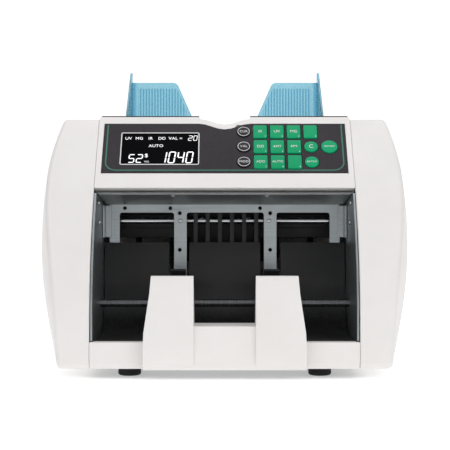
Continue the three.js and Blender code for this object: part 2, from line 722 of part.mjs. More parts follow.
function rearDoor() {
  const [half, low, high] = [door.half - door.gap, door.low + door.gap, door.high - door.gap];
  const face = roundedRect(0, (low + high) / 2, 2 * half, high - low, 2);
  const panel = sweepY(face, bodyDepth - WALL, bodyDepth, 3);
  const { y, z, radius, pin, end, knuckle } = hinge;
  const slots = Array.from({ length: 7 }, (_, i) => {
    const z = 84 + i * 9;
    return block(-40, 40, rearInside, rearOutside, z, z + 4);
  });
  const web = block(-end, end, bodyDepth - 1, y, z, low + 1);
  const barrel = rod("x", -end, end, y, z, radius, 16);
  const pins = rod("x", -end - knuckle, end + knuckle, y, z, pin, 12);
  return join(cut(panel, ...slots), web, barrel, pins);
}

function mainsInlet() {
  const { x, z, width, height } = inlet;
  const back = bodyDepth - 26;
  const [halfWidth, halfHeight] = [width / 2, height / 2];
  const shell = block(x - halfWidth, x + halfWidth, back, bodyDepth + 0.6, z - halfHeight, z + halfHeight);
  const mouth = block(x - 11.5, x + 11.5, back + 10, rearOutside, z - 7.5, z + 7.5);
  const blades = [-7, 0, 7].map((dx) => block(x + dx - 1, x + dx + 1, back + 8, bodyDepth - 4, z - 2, z + 2));
  const cradle = block(rocker.x - 6.6, x, back - 2, back + 6, z - 9, z + 9);
  return join(cut(shell, mouth), ...blades, cradle);
}

const rockerPivot = { y: bodyDepth - 7, z: rocker.z };
function powerRocker() {
  const [y, z] = [rockerPivot.y, rockerPivot.z];
  const face = [
    [y, z - 7],
    [y + 7, z - 9],
    [y + 9.6, z - 8.6],
    [y + 6.6, z],
    [y + 7.6, z + 8.6],
    [y + 6, z + 9],
    [y, z + 7],
    [y - 5, z],
  ];
  return sweepX(outline(face), rocker.x - 6.6, rocker.x + 6.6);
}

// ---------------------------------------------------------------- electronics
function mainBoard() {
  const z = trayTop + 5;
  const board = block(-88, 38, 120, 200, z, z + 1.6);
  const chips = [[-60, 150, 12, 12, 3], [-20, 140, 9, 9, 2.4], [10, 170, 7, 14, 8], [-50, 184, 16, 6, 9]].map(
    ([x, y, w, d, h]) => block(x - w, x + w, y - d, y + d, z + 1.2, z + 1.6 + h),
  );
  const legs = [[-84, 124], [-84, 196], [34, 124], [34, 196]].map(([x, y]) =>
    rod("z", trayTop + GAP, z + 0.5, x, y, 2.5, 8),
  );
  return join(board, ...chips, ...legs);
}

function powerSupply() {
  const [x0, x1, y0, y1, z0] = [46, 90, 120, 198, trayTop + GAP];
  const can = block(x0, x1, y0, y1, z0, z0 + 36);
  const slots = Array.from({ length: 6 }, (_, i) => {
    const y = y0 + 12 + i * 10;
    return block(x0 + 6, x1 - 6, y, y + 4, z0 + 34.8, 60);
  });
  return cut(can, ...slots);
}

// The bar across the note path that reads each note.
function sensorBar() {
  const { y, z } = shafts.transport;
  const bar = block(-88, 88, y + 18, y + 30, z - 14, z + 12);
  const lens = block(-82, 82, y + 16.6, y + 19, z - 6, z + 5);
  return join(bar, lens);
}

// ---------------------------------------------------------------- drive train
const motorRadius = 19;
function mainMotor() {
  const { y, z } = shafts.motor;
  const inner = -plateHalf + GAP;
  const can = rod("x", inner, -44, y, z, motorRadius, 28);
  const cap = rod("x", -45, -40, y, z, 8, 20);
  return cut(join(can, cap), rod("x", -plateOuter - 5, -60, y, z, shafts.motor.radius + bearingGap, 16));
}

// A grooved pulley on a shaft, with a flange on each side of the belt.
function pulley(shaft, radius, from, sides = 24) {
  const { y, z } = shaft;
  const drum = rod("x", from, from + belt.width + 2, y, z, radius, sides);
  return join(drum, rod("x", from, from + 0.8, y, z, radius + 0.9, sides));
}

const leftPulleyAt = -belt.from - belt.width - 1;
const shaftEnd = belt.from + belt.width + 2;

function drivenShaft(name) {
  const shaft = shafts[name];
  const right = name === "feed" ? shaftEnd : plateOuter + 1;
  const parts = [rod("x", -shaftEnd, right, shaft.y, shaft.z, shaft.radius, 16)];
  parts.push(pulley(shaft, shaft.pulley, leftPulleyAt));
  if (name === "feed") parts.push(pulley(shaft, stackerDrive, belt.from - 1));
  return join(...parts);
}

function stackerShaft() {
  const shaft = shafts.stacker;
  const core = rod("x", -plateOuter - 1.5, shaftEnd, shaft.y, shaft.z, shaft.radius, 16);
  return join(core, pulley(shaft, shaft.pulley, belt.from - 1));
}

function motorPulley() {
  const shaft = shafts.motor;
  const core = rod("x", -shaftEnd, -66, shaft.y, shaft.z, shaft.radius, 16);
  return join(core, pulley(shaft, shaft.pulley, leftPulleyAt));
}

// Points of the tightest loop round circles of the given radii, counter-clockwise.
function loopRound(circles, extra) {
  const points = circles.flatMap(({ y, z, r }) =>
    Array.from({ length: 28 }, (_, i) => {
      const angle = (2 * Math.PI * i) / 28;
      return [y + (r + extra) * Math.cos(angle), z + (r + extra) * Math.sin(angle)];
    }),
  );
  points.sort((a, b) => a[0] - b[0] || a[1] - b[1]);
  const half = (list) => {
    const chain = [];
    const turn = (o, a, b) => (a[0] - o[0]) * (b[1] - o[1]) - (a[1] - o[1]) * (b[0] - o[0]);
    for (const point of list) {
      while (chain.length > 1 && turn(chain.at(-2), chain.at(-1), point) <= 1e-9) chain.pop();
      chain.push(point);
    }
    return chain.slice(0, -1);
  };
  return [...half(points), ...half([...points].reverse())];
}

function beltLoop(circles, from) {
  const outer = sweepX(outline(loopRound(circles, belt.clear + belt.thick)), from, from + belt.width);
  return cut(outer, sweepX(outline(loopRound(circles, belt.clear)), from - 1, from + belt.width + 1));
}

const circleOf = (name, r = shafts[name].pulley) => ({ y: shafts[name].y, z: shafts[name].z, r });
const mainCircles = ["motor", "feed", "pickup", "transport"].map((name) => circleOf(name));
const stackerCircles = [circleOf("feed", stackerDrive), circleOf("stacker")];

// A roller or sleeve on a shaft, turned about it from (x, radius) steps.
function turned(shaft, steps, sides = 24) {
  const bore = shaft.radius + GAP / 2;
  const [first, last] = [steps[0][0], steps.at(-1)[0]];
  const ring = [[first, bore], ...steps, [last, bore], [first, bore]];
  const points = ring.map(([x, r]) => new THREE.Vector2(r, x));
  const geometry = new THREE.LatheGeometry(points, sides).rotateZ(-Math.PI / 2);
  return solid(geometry.translate(0, shaft.y, shaft.z));
}

const rollerSteps = (x, width, radius) => [
  [x - width / 2, radius - 0.8],
  [x - width / 2 + 0.8, radius],
  [x + width / 2 - 0.8, radius],
  [x + width / 2, radius - 0.8],
];

// A stacker wheel: a hub with soft blades that curl back from the direction of turning.
const wheelBlades = 10;
function stackerWheel(x) {
  const { y, z, radius } = shafts.stacker;
  const hubRadius = 8.5;
  const [steps, thick, sweep] = [5, 1.5, 1.25];
  const edge = (start, side) =>
    Array.from({ length: steps + 1 }, (_, i) => {
      const r = hubRadius - 1 + ((wheelRadius - hubRadius + 1) * i) / steps;
      const angle = start + sweep * (i / steps) ** 1.3 + (side * thick) / 2 / r;
      return [y + r * Math.cos(angle), z + r * Math.sin(angle)];
    });
  const [from, to] = [x - wheelWidth / 2, x + wheelWidth / 2];
  const blades = Array.from({ length: wheelBlades }, (_, i) => {
    const start = (2 * Math.PI * i) / wheelBlades;
    return sweepX(outline([...edge(start, -1), ...edge(start, 1).reverse()]), from, to);
  });
  const hub = rod("x", from - 1, to + 1, y, z, hubRadius, 20);
  return cut(join(hub, ...blades), rod("x", from - 5, to + 5, y, z, radius + GAP / 2, 20));
}

// ---------------------------------------------------------------- assembly
function framePieces() {
  add("right_side_plate", "frame_steel", sidePlate());
  add("left_side_plate", "frame_steel", mirrorX(sidePlate()));
  add("window_frame", "frame_steel", windowFrame());
  add("throat_ceiling", "dark_steel", throatCeiling());
  add("chute", "black_plastic", chute());
  add("note_guide", "black_plastic", noteGuide());
  add("hopper_bed", "rear_grey", hopperBed());
  add("gap_bracket", "black_plastic", gapBracket());
  add("gap_screw", "black_plastic", gapScrew());
  add("right_hopper_guide", "blue_clear", hopperGuide());
  add("left_hopper_guide", "blue_clear", mirrorX(hopperGuide()));
}

function rearPieces() {
  add("rear_housing", "rear_grey", rearHousing());
  add("rear_door", "rear_grey", rearDoor());
  add("mains_inlet", "black_plastic", mainsInlet());
  add("power_rocker", "black_plastic", powerRocker());
  add("main_board", "board_green", mainBoard());
  add("power_supply", "motor_metal", powerSupply());
  add("sensor_bar", "black_plastic", sensorBar());
}

function drivePieces() {
  add("main_motor", "motor_metal", mainMotor());
  add("motor_pulley", "shaft_steel", motorPulley());
  for (const name of ["feed", "pickup", "transport"]) add(`${name}_shaft`, "shaft_steel", drivenShaft(name));
  add("stacker_shaft", "shaft_steel", stackerShaft());
  add("feed_roller", "rubber", turned(shafts.feed, rollerSteps(0, 34, 10.5)));
  for (const [side, x] of [["left", -pickupX], ["right", pickupX]]) {
    add(`${side}_pickup_roller`, "rubber", turned(shafts.pickup, rollerSteps(x, rollerWidth, 12.5)));
  }
  add("left_stacker_wheel", "rubber", stackerWheel(-wheelX));
  add("right_stacker_wheel", "rubber", stackerWheel(wheelX));
  add("main_belt", "rubber", beltLoop(mainCircles, -belt.from - belt.width));
  add("stacker_belt", "rubber", beltLoop(stackerCircles, belt.from));
}

panelPieces();
housingPieces();
framePieces();
rearPieces();
drivePieces();
const frontmost = -9.6; // the prongs' face
const rearmost = hinge.y + hinge.radius;
machine.position.y = -(frontmost + rearmost) / 2;
export default machine;
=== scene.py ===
# %% [markdown]
# # A banknote counting machine
# A desktop counter takes a stack of notes in a hopper at the top rear, and stands the counted notes
# in an open pocket at the front. Its engineering model is already packed, with every body and joint.
# Here each visible piece gets the shape and the finish of the real one, in Blender, around that model.

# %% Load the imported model
import json
import math

import bmesh
import bpy
from mathutils import Matrix, Vector


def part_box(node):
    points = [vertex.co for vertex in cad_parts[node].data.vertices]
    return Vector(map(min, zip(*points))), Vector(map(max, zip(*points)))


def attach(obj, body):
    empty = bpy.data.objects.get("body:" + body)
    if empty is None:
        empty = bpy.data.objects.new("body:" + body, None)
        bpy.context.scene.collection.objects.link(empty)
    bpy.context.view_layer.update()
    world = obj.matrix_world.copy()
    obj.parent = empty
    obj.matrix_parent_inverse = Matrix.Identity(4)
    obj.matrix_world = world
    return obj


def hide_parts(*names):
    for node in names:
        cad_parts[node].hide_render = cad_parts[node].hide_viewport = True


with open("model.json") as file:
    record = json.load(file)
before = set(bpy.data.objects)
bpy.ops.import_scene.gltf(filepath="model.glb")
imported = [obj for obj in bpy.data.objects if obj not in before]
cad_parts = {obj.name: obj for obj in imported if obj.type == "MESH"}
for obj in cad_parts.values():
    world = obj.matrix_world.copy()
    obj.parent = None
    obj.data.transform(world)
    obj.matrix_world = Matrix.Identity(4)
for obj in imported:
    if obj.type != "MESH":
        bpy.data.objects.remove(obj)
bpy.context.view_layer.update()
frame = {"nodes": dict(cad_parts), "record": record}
scene = bpy.context.scene

# %% [markdown]
# ## One way to give a place
# A maker measures this machine in millimetres: across from its middle, back from the front lip, and
# up from the desk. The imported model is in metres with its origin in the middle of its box. One small
# function turns the first into the second, and reads the lip's place from the model itself.

# %% Places in millimetres
LIP_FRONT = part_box("front_lip")[0].y


def at(x, y, z):
    """A place x mm right of the middle, y mm behind the lip and z mm above the desk."""
    return Vector((x / 1000, LIP_FRONT + y / 1000, z / 1000))


print("lip front at", round(LIP_FRONT * 1000, 1), "mm")

# %% [markdown]
# ## Camera
# The machine is seen straight on, from a little under a metre away and at about the height of the
# middle of its pocket, with a long lens. A long lens keeps the sides nearly parallel, as in a
# catalogue picture, and a slight tilt down shows the tops of the bridge and the lip.

# %% Set up the camera
LENS, CAMERA_BACK, CAMERA_HEIGHT, CAMERA_TILT = 105.3, 943, 120, 0.57
camera_data = bpy.data.cameras.new("catalogue_camera")
camera_data.sensor_width = 36
camera_data.lens = LENS
camera_data.shift_x = 0.0007
camera = bpy.data.objects.new("catalogue_camera", camera_data)
scene.collection.objects.link(camera)
camera.location = at(0, -CAMERA_BACK, CAMERA_HEIGHT)
camera.rotation_euler = (math.radians(90 - CAMERA_TILT), 0, 0)
scene.camera = camera
print("camera", [round(v, 3) for v in camera.location])

# %% [markdown]
# ## Floor and light
# The floor is one pale sheet that curves up behind the machine, so no horizon shows. A broad lamp
# overhead and two large side lamps give soft shadows, and a white sky fills in the rest. Soft light
# suits white mouldings: the form shows in gentle gradients, with no hard highlights. The sky is made
# plain here, and gets its darker sides once the helpers for shaders are there.

# %% Floor, lamps and sky
def floor_sheet():
    """A pale sweep: flat under the machine, then up behind it in a wide curve."""
    section = [(-1.6, 0.0), (0.9, 0.0)]
    bends = [i * math.pi / 24 for i in range(1, 13)]
    section += [(0.9 + 0.7 * math.sin(a), 0.7 - 0.7 * math.cos(a)) for a in bends]
    section.append((1.6, 2.4))
    sheet = bmesh.new()
    rows = [[sheet.verts.new((x, y, z)) for x in (-2.6, 2.6)] for y, z in section]
    for low, high in zip(rows, rows[1:]):
        sheet.faces.new((low[0], low[1], high[1], high[0]))
    mesh = bpy.data.meshes.new("floor")
    sheet.to_mesh(mesh)
    sheet.free()
    mesh.polygons.foreach_set("use_smooth", [True] * len(mesh.polygons))
    floor = bpy.data.objects.new("floor", mesh)
    scene.collection.objects.link(floor)
    return floor


def lamp(name, place, aim, size, power):
    """A square soft lamp that points at a place."""
    light = bpy.data.lights.new(name, "AREA")
    light.size = size
    light.energy = power
    holder = bpy.data.objects.new(name, light)
    scene.collection.objects.link(holder)
    holder.location = place
    holder.rotation_euler = (Vector(aim) - Vector(place)).to_track_quat("-Z", "Y").to_euler()


floor = floor_sheet()
paper = bpy.data.materials.new("white_paper")
paper.use_nodes = True
paper_shader = paper.node_tree.nodes["Principled BSDF"]
paper_shader.inputs["Base Color"].default_value = (0.93, 0.93, 0.93, 1)
paper_shader.inputs["Roughness"].default_value = 0.7
paper_shader.inputs["Emission Color"].default_value = (1, 1, 1, 1)
paper_shader.inputs["Emission Strength"].default_value = 0.36
floor.data.materials.append(paper)

lamp("overhead", (0.0, 0.05, 1.5), (0, 0, 0.1), 1.3, 8)
lamp("left_front", (-1.0, -1.1, 0.9), (0, 0, 0.1), 0.9, 4.2)
lamp("right_front", (1.0, -1.1, 0.9), (0, 0, 0.1), 0.9, 6.2)
sky = bpy.data.worlds.new("studio_sky")
sky.use_nodes = True
sky.node_tree.nodes["Background"].inputs["Color"].default_value = (1, 1, 1, 1)
scene.world = sky
scene.view_settings.view_transform = "Standard"

# %% [markdown]
# ## Shared effects for the finishes
# Most finishes on this machine share a few small effects: the fine texture of a mould, edges that
# have been handled until they are a little brighter, a film of dust and slight unevenness of colour,
# and the straight lines of rolled or brushed metal. Each is built once as a shader node group with
# named sockets, and every material that needs it places the same group with its own values.

# %% A helper that makes a node group with named sockets
def effect(name, inputs, outputs):
    """An empty shader node group. inputs is {name: default}; outputs is a list of socket names."""
    group = bpy.data.node_groups.new(name, "ShaderNodeTree")
    for label, default in inputs.items():
        kind = "NodeSocketColor" if isinstance(default, tuple) else "NodeSocketFloat"
        group.interface.new_socket(label, in_out="INPUT", socket_type=kind).default_value = default
    for label in outputs:
        kind = "NodeSocketColor" if label == "Color" else "NodeSocketFloat"
        group.interface.new_socket(label, in_out="OUTPUT", socket_type=kind)
    return group, group.nodes.new("NodeGroupInput"), group.nodes.new("NodeGroupOutput")


def feed(tree, socket, value):
    """Gives an input socket a value, or links it to an output."""
    if isinstance(value, bpy.types.NodeSocket):
        tree.links.new(value, socket)
    else:
        socket.default_value = value


def node(tree, kind, settings=None, **values):
    """Adds a node; settings are its own options, and values its input sockets by name."""
    made = tree.nodes.new(kind)
    for option, value in (settings or {}).items():
        setattr(made, option, value)
    for label, value in values.items():
        feed(tree, made.inputs[label.replace("_", " ")], value)
    return made


def maths(tree, operation, first, second):
    """A Math node on two sockets or numbers; gives its output socket."""
    made = tree.nodes.new("ShaderNodeMath")
    made.operation = operation
    feed(tree, made.inputs[0], first)
    feed(tree, made.inputs[1], second)
    return made.outputs[0]


def ramp(tree, source, low, high, at_low=0.0, at_high=1.0):
    """Maps a value between two limits on to a new range, and clamps it."""
    limits = {"From_Min": low, "From_Max": high, "To_Min": at_low, "To_Max": at_high}
    return node(tree, "ShaderNodeMapRange", {"clamp": True}, Value=source, **limits).outputs["Result"]


# %% [markdown]
# ## A sky that is darker at the sides
# The round sides of the covers show their curve only if less light reaches them than the front. So
# the strength of the sky falls from straight ahead towards either side, by one ramp.

# %% The sky dims towards both sides
SKY_FRONT, SKY_SIDE = 0.46, 0.1
sky_tree = sky.node_tree
direction = node(sky_tree, "ShaderNodeSeparateXYZ")
sky_tree.links.new(node(sky_tree, "ShaderNodeTexCoord").outputs["Generated"], direction.inputs[0])
sideways = maths(sky_tree, "ABSOLUTE", direction.outputs["X"], 0.0)
sky_strength = ramp(sky_tree, sideways, 0.35, 1.0, SKY_FRONT, SKY_SIDE)
sky_tree.links.new(sky_strength, sky_tree.nodes["Background"].inputs["Strength"])
print("sky strength", SKY_FRONT, "ahead and", SKY_SIDE, "at the sides")

# %% Mould grain: a fine, shallow texture over the whole surface
grain, grain_in, grain_out = effect("mould grain", {"Scale": 900.0, "Depth": 1.0}, ["Height", "Shade"])
grain_place = node(grain, "ShaderNodeTexCoord").outputs["Object"]
grain_scale = grain_in.outputs["Scale"]
grain_fine = node(
    grain, "ShaderNodeTexNoise", Detail=3.0, Roughness=0.6, Vector=grain_place, Scale=grain_scale
)
grain_broad = node(grain, "ShaderNodeTexNoise", Detail=2.0, Scale=14.0, Vector=grain_place)
grain_height = maths(grain, "MULTIPLY", grain_fine.outputs["Fac"], grain_in.outputs["Depth"])
grain.links.new(grain_height, grain_out.inputs["Height"])
grain.links.new(grain_broad.outputs["Fac"], grain_out.inputs["Shade"])
print("group", grain.name)

# %% Edge wear: where the surface turns sharply, broken up by noise
wear, wear_in, wear_out = effect("edge wear", {"Width": 0.0008, "Gain": 3.0, "Breakup": 300.0}, ["Mask"])
wear_round = node(wear, "ShaderNodeBevel", {"samples": 6}, Radius=wear_in.outputs["Width"])
wear_true = node(wear, "ShaderNodeNewGeometry")
wear_dot = node(wear, "ShaderNodeVectorMath", {"operation": "DOT_PRODUCT"})
wear.links.new(wear_round.outputs["Normal"], wear_dot.inputs[0])
wear.links.new(wear_true.outputs["Normal"], wear_dot.inputs[1])
wear_turn = maths(wear, "SUBTRACT", 1.0, wear_dot.outputs["Value"])
wear_place = node(wear, "ShaderNodeTexCoord").outputs["Object"]
wear_noise = node(wear, "ShaderNodeTexNoise", Detail=4.0, Vector=wear_place, Scale=wear_in.outputs["Breakup"])
wear_spots = ramp(wear, wear_noise.outputs["Fac"], 0.38, 0.62, 0.25, 1.0)
wear_mask = maths(wear, "MULTIPLY", maths(wear, "MULTIPLY", wear_turn, wear_in.outputs["Gain"]), wear_spots)
wear.links.new(maths(wear, "MINIMUM", wear_mask, 1.0), wear_out.inputs["Mask"])
print("group", wear.name)

# %% Handling: soft patches from dust and fingers, more on faces that look up
handling, handling_in, handling_out = effect("handling", {"Scale": 22.0, "Dust": 0.5}, ["Patches", "Dust"])
handling_place = node(handling, "ShaderNodeTexCoord").outputs["Object"]
handling_cloud = node(
    handling, "ShaderNodeTexNoise", Detail=5.0, Roughness=0.62, Vector=handling_place,
    Scale=handling_in.outputs["Scale"],
)
handling_face = node(handling, "ShaderNodeNewGeometry").outputs["Normal"]
handling_up = node(handling, "ShaderNodeSeparateXYZ", Vector=handling_face)
handling_lying = ramp(handling, handling_up.outputs["Z"], 0.35, 1.0)
handling_speck = node(
    handling, "ShaderNodeTexNoise", Scale=420.0, Detail=6.0, Roughness=0.7, Vector=handling_place
)
handling_specks = ramp(handling, handling_speck.outputs["Fac"], 0.4, 0.75)
handling_film = maths(handling, "MULTIPLY", handling_lying, handling_specks)
handling_dust = maths(handling, "MULTIPLY", handling_film, handling_in.outputs["Dust"])
handling.links.new(handling_cloud.outputs["Fac"], handling_out.inputs["Patches"])
handling.links.new(handling_dust, handling_out.inputs["Dust"])
print("group", handling.name)

# %% Drawn lines: the straight marks of rolled, ground or brushed metal, along one axis
drawn, drawn_in, drawn_out = effect("drawn lines", {"Along": 12.0, "Across": 1400.0}, ["Lines"])
drawn_place = node(drawn, "ShaderNodeTexCoord").outputs["Object"]
drawn_stretch = node(drawn, "ShaderNodeCombineXYZ")
drawn_parts = node(drawn, "ShaderNodeSeparateXYZ", Vector=drawn_place)
for axis, scale in (("X", "Along"), ("Y", "Across"), ("Z", "Across")):
    scaled = maths(drawn, "MULTIPLY", drawn_parts.outputs[axis], drawn_in.outputs[scale])
    drawn.links.new(scaled, drawn_stretch.inputs[axis])
drawn_spot = drawn_stretch.outputs["Vector"]
drawn_noise = node(drawn, "ShaderNodeTexNoise", Scale=1.0, Detail=3.0, Roughness=0.65, Vector=drawn_spot)
drawn.links.new(drawn_noise.outputs["Fac"], drawn_out.inputs["Lines"])
print("group", drawn.name)

# %% [markdown]
# ## Finishes
# Every finish starts from the Principled shader and takes its colour, roughness and fine relief from
# the shared effects. A moulding is a body colour that drifts a little, gets dusty on top and pale on
# its edges, and is matt or glossy by its mould. A metal swaps the grain for drawn lines. Building
# them with two functions keeps one way of working, and each finish still has values of its own.

# %% Two makers: moulded plastic and sheet or bar metal
def colour(r, g, b):
    """A colour as it is read off a paint card, 0 to 255, as the shader wants it."""
    shares = [c / 255 for c in (r, g, b)]
    return (*(s / 12.92 if s <= 0.04 else ((s + 0.055) / 1.055) ** 2.4 for s in shares), 1.0)


def place_group(tree, group, **values):
    """Places a shared effect in a material with its own values."""
    return node(tree, "ShaderNodeGroup", {"node_tree": group}, **values)


def blend_colour(tree, amount, first, second):
    """Mixes two colours or colour sockets by a mask; gives the colour socket."""
    made = tree.nodes.new("ShaderNodeMix")
    made.data_type = "RGBA"
    for place, value in ((0, amount), (6, first), (7, second)):
        feed(tree, made.inputs[place], value)
    return made.outputs[2]


def new_finish(name):
    """A material with its tree and its Principled shader."""
    material = bpy.data.materials.new(name)
    material.use_nodes = True
    return material, material.node_tree, material.node_tree.nodes["Principled BSDF"]


def wire_finish(tree, shader, tone, gloss, height, relief):
    """Links a finish's colour, roughness and relief to its shader."""
    bump = node(tree, "ShaderNodeBump", Strength=1.0, Distance=relief, Height=height)
    for label, output in (("Base Color", tone), ("Roughness", gloss), ("Normal", bump.outputs["Normal"])):
        tree.links.new(output, shader.inputs[label])


def moulded(
    name, body, drift, edge, rough, grain_scale, relief, dust=0.35, wear_width=0.0007, coat=0.0, shine=0.5
):
    """Moulded plastic or rubber: body colour, its drifted shade, worn edge colour, roughness range, grain."""
    body, drift, edge = (colour(*c) for c in (body, drift, edge))
    material, tree, shader = new_finish(name)
    texture = place_group(tree, grain, Scale=grain_scale)
    touch = place_group(tree, handling, Dust=dust)
    rub = place_group(tree, wear, Width=wear_width)
    patches = ramp(tree, touch.outputs["Patches"], 0.3, 0.7)
    tone = blend_colour(tree, patches, body, drift)
    tone = blend_colour(tree, touch.outputs["Dust"], tone, colour(206, 203, 198))
    tone = blend_colour(tree, rub.outputs["Mask"], tone, edge)
    gloss = maths(tree, "MULTIPLY_ADD", patches, rough[1] - rough[0])
    feed(tree, gloss.node.inputs[2], rough[0])
    dusty = maths(tree, "ADD", gloss, maths(tree, "MULTIPLY", touch.outputs["Dust"], 0.3))
    wire_finish(tree, shader, tone, dusty, texture.outputs["Height"], relief)
    shader.inputs["Coat Weight"].default_value = coat
    shader.inputs["Specular IOR Level"].default_value = shine
    shader.inputs["Coat Roughness"].default_value = 0.12
    return material


def metal(name, body, drift, rough, along=12.0, across=1400.0, relief=0.00002, dust=0.2):
    """Bare metal with drawn lines along X: body colour, its drifted shade and its roughness range."""
    body, drift = colour(*body), colour(*drift)
    material, tree, shader = new_finish(name)
    lines = place_group(tree, drawn, Along=along, Across=across)
    touch = place_group(tree, handling, Scale=34.0, Dust=dust)
    rub = place_group(tree, wear, Width=0.0005, Gain=2.0)
    patches = ramp(tree, touch.outputs["Patches"], 0.3, 0.7)
    tone = blend_colour(tree, patches, body, drift)
    bright = maths(tree, "MULTIPLY", lines.outputs["Lines"], 0.35)
    tone = blend_colour(tree, bright, tone, colour(235, 238, 240))
    tone = blend_colour(tree, rub.outputs["Mask"], tone, colour(226, 228, 230))
    shader.inputs["Metallic"].default_value = 1.0
    streak = ramp(tree, lines.outputs["Lines"], 0.25, 0.75, rough[0], rough[1])
    dusty = maths(tree, "ADD", streak, maths(tree, "MULTIPLY", touch.outputs["Dust"], 0.3))
    wire_finish(tree, shader, tone, dusty, lines.outputs["Lines"], relief)
    return material


# %% [markdown]
# ## The plastics
# The covers are a warm white with a fine satin texture. The rear is a shade greyer and coarser. The
# control film is a dark charcoal with a light texture, and the key caps are a clear strong green.
# Inside, the chute and the guides are black, and the wheels and feet are rubber with a dry surface.

# %% Plastics and rubber
warm_white = moulded(
    "warm_white", (236, 233, 232), (231, 228, 226), (246, 245, 243), (0.36, 0.46), 1500.0, 0.000012,
    dust=0.12, shine=0.35,
)
rear_grey = moulded(
    "rear_grey", (219, 217, 214), (211, 209, 206), (232, 231, 229), (0.46, 0.56), 1100.0, 0.00003,
    dust=0.3,
)
control_film = moulded(
    "control_film", (46, 41, 48), (41, 37, 43), (66, 62, 68), (0.42, 0.52), 2400.0, 0.000006,
    dust=0.03, wear_width=0.0003, shine=0.18,
)
film_green = moulded(
    "film_green", (24, 112, 88), (20, 102, 80), (40, 130, 104), (0.36, 0.44), 2400.0, 0.000006,
    dust=0.03, wear_width=0.0002,
)
key_green = moulded(
    "key_green", (2, 164, 110), (1, 152, 100), (70, 200, 156), (0.34, 0.44), 1800.0, 0.00001,
    dust=0.0, wear_width=0.0004, shine=0.15,
)
key_dark = moulded(
    "key_dark", (34, 30, 36), (29, 26, 31), (82, 80, 84), (0.36, 0.46), 1800.0, 0.00001,
    dust=0.02, wear_width=0.0004, shine=0.25,
)
print_white = moulded(
    "print_white", (232, 234, 232), (222, 225, 223), (240, 240, 240), (0.45, 0.55), 2400.0, 0.000004,
    dust=0.0, wear_width=0.0002,
)
inner_black = moulded(
    "inner_black", (24, 24, 25), (18, 18, 19), (58, 58, 58), (0.4, 0.56), 1200.0, 0.00002,
    dust=0.08,
)
soft_rubber = moulded(
    "soft_rubber", (30, 30, 31), (23, 23, 24), (66, 65, 64), (0.72, 0.88), 700.0, 0.00006,
    dust=0.3, wear_width=0.0009,
)
wheel_rubber = moulded(
    "wheel_rubber", (58, 60, 63), (49, 51, 54), (104, 105, 106), (0.6, 0.76), 800.0, 0.00005,
    dust=0.25,
)
board_mask = moulded(
    "board_green", (22, 92, 58), (17, 82, 50), (120, 138, 84), (0.3, 0.42), 2000.0, 0.00001,
    dust=0.25, coat=0.3,
)
print("plastics ready")

# %% [markdown]
# ## The metals
# The side plates and the window frame are bare zinc plated sheet, a bluish grey with drawn lines. The
# ceiling plate of the pocket is dark, and the shafts are ground bright. The lines run across the
# machine, the way the sheet was rolled and the way the shafts are turned.

# %% Metals
plated_sheet = metal("plated_sheet", (166, 173, 176), (152, 160, 164), (0.3, 0.46), along=26.0, across=900.0)
dark_sheet = metal(
    "dark_sheet", (124, 127, 125), (110, 114, 112), (0.4, 0.52),
    along=20.0, across=800.0, dust=0.25,
)
ground_steel = metal("ground_steel", (206, 209, 211), (192, 195, 198), (0.16, 0.28), along=900.0, across=60.0)
screw_steel = metal("screw_steel", (226, 227, 226), (210, 212, 211), (0.34, 0.46), along=300.0, across=300.0)
plated_can = metal("plated_can", (170, 171, 170), (156, 158, 158), (0.3, 0.44), along=40.0, across=400.0)
print("metals ready")

# %% [markdown]
# ## Clear blue and display glass
# The hopper guides are a clear moulding with blue dye in it, so light passes through and comes out
# blue. The display is black glass, and its figures light up by themselves: they are an emission, as
# bright as the white film print in a lit room and no brighter.

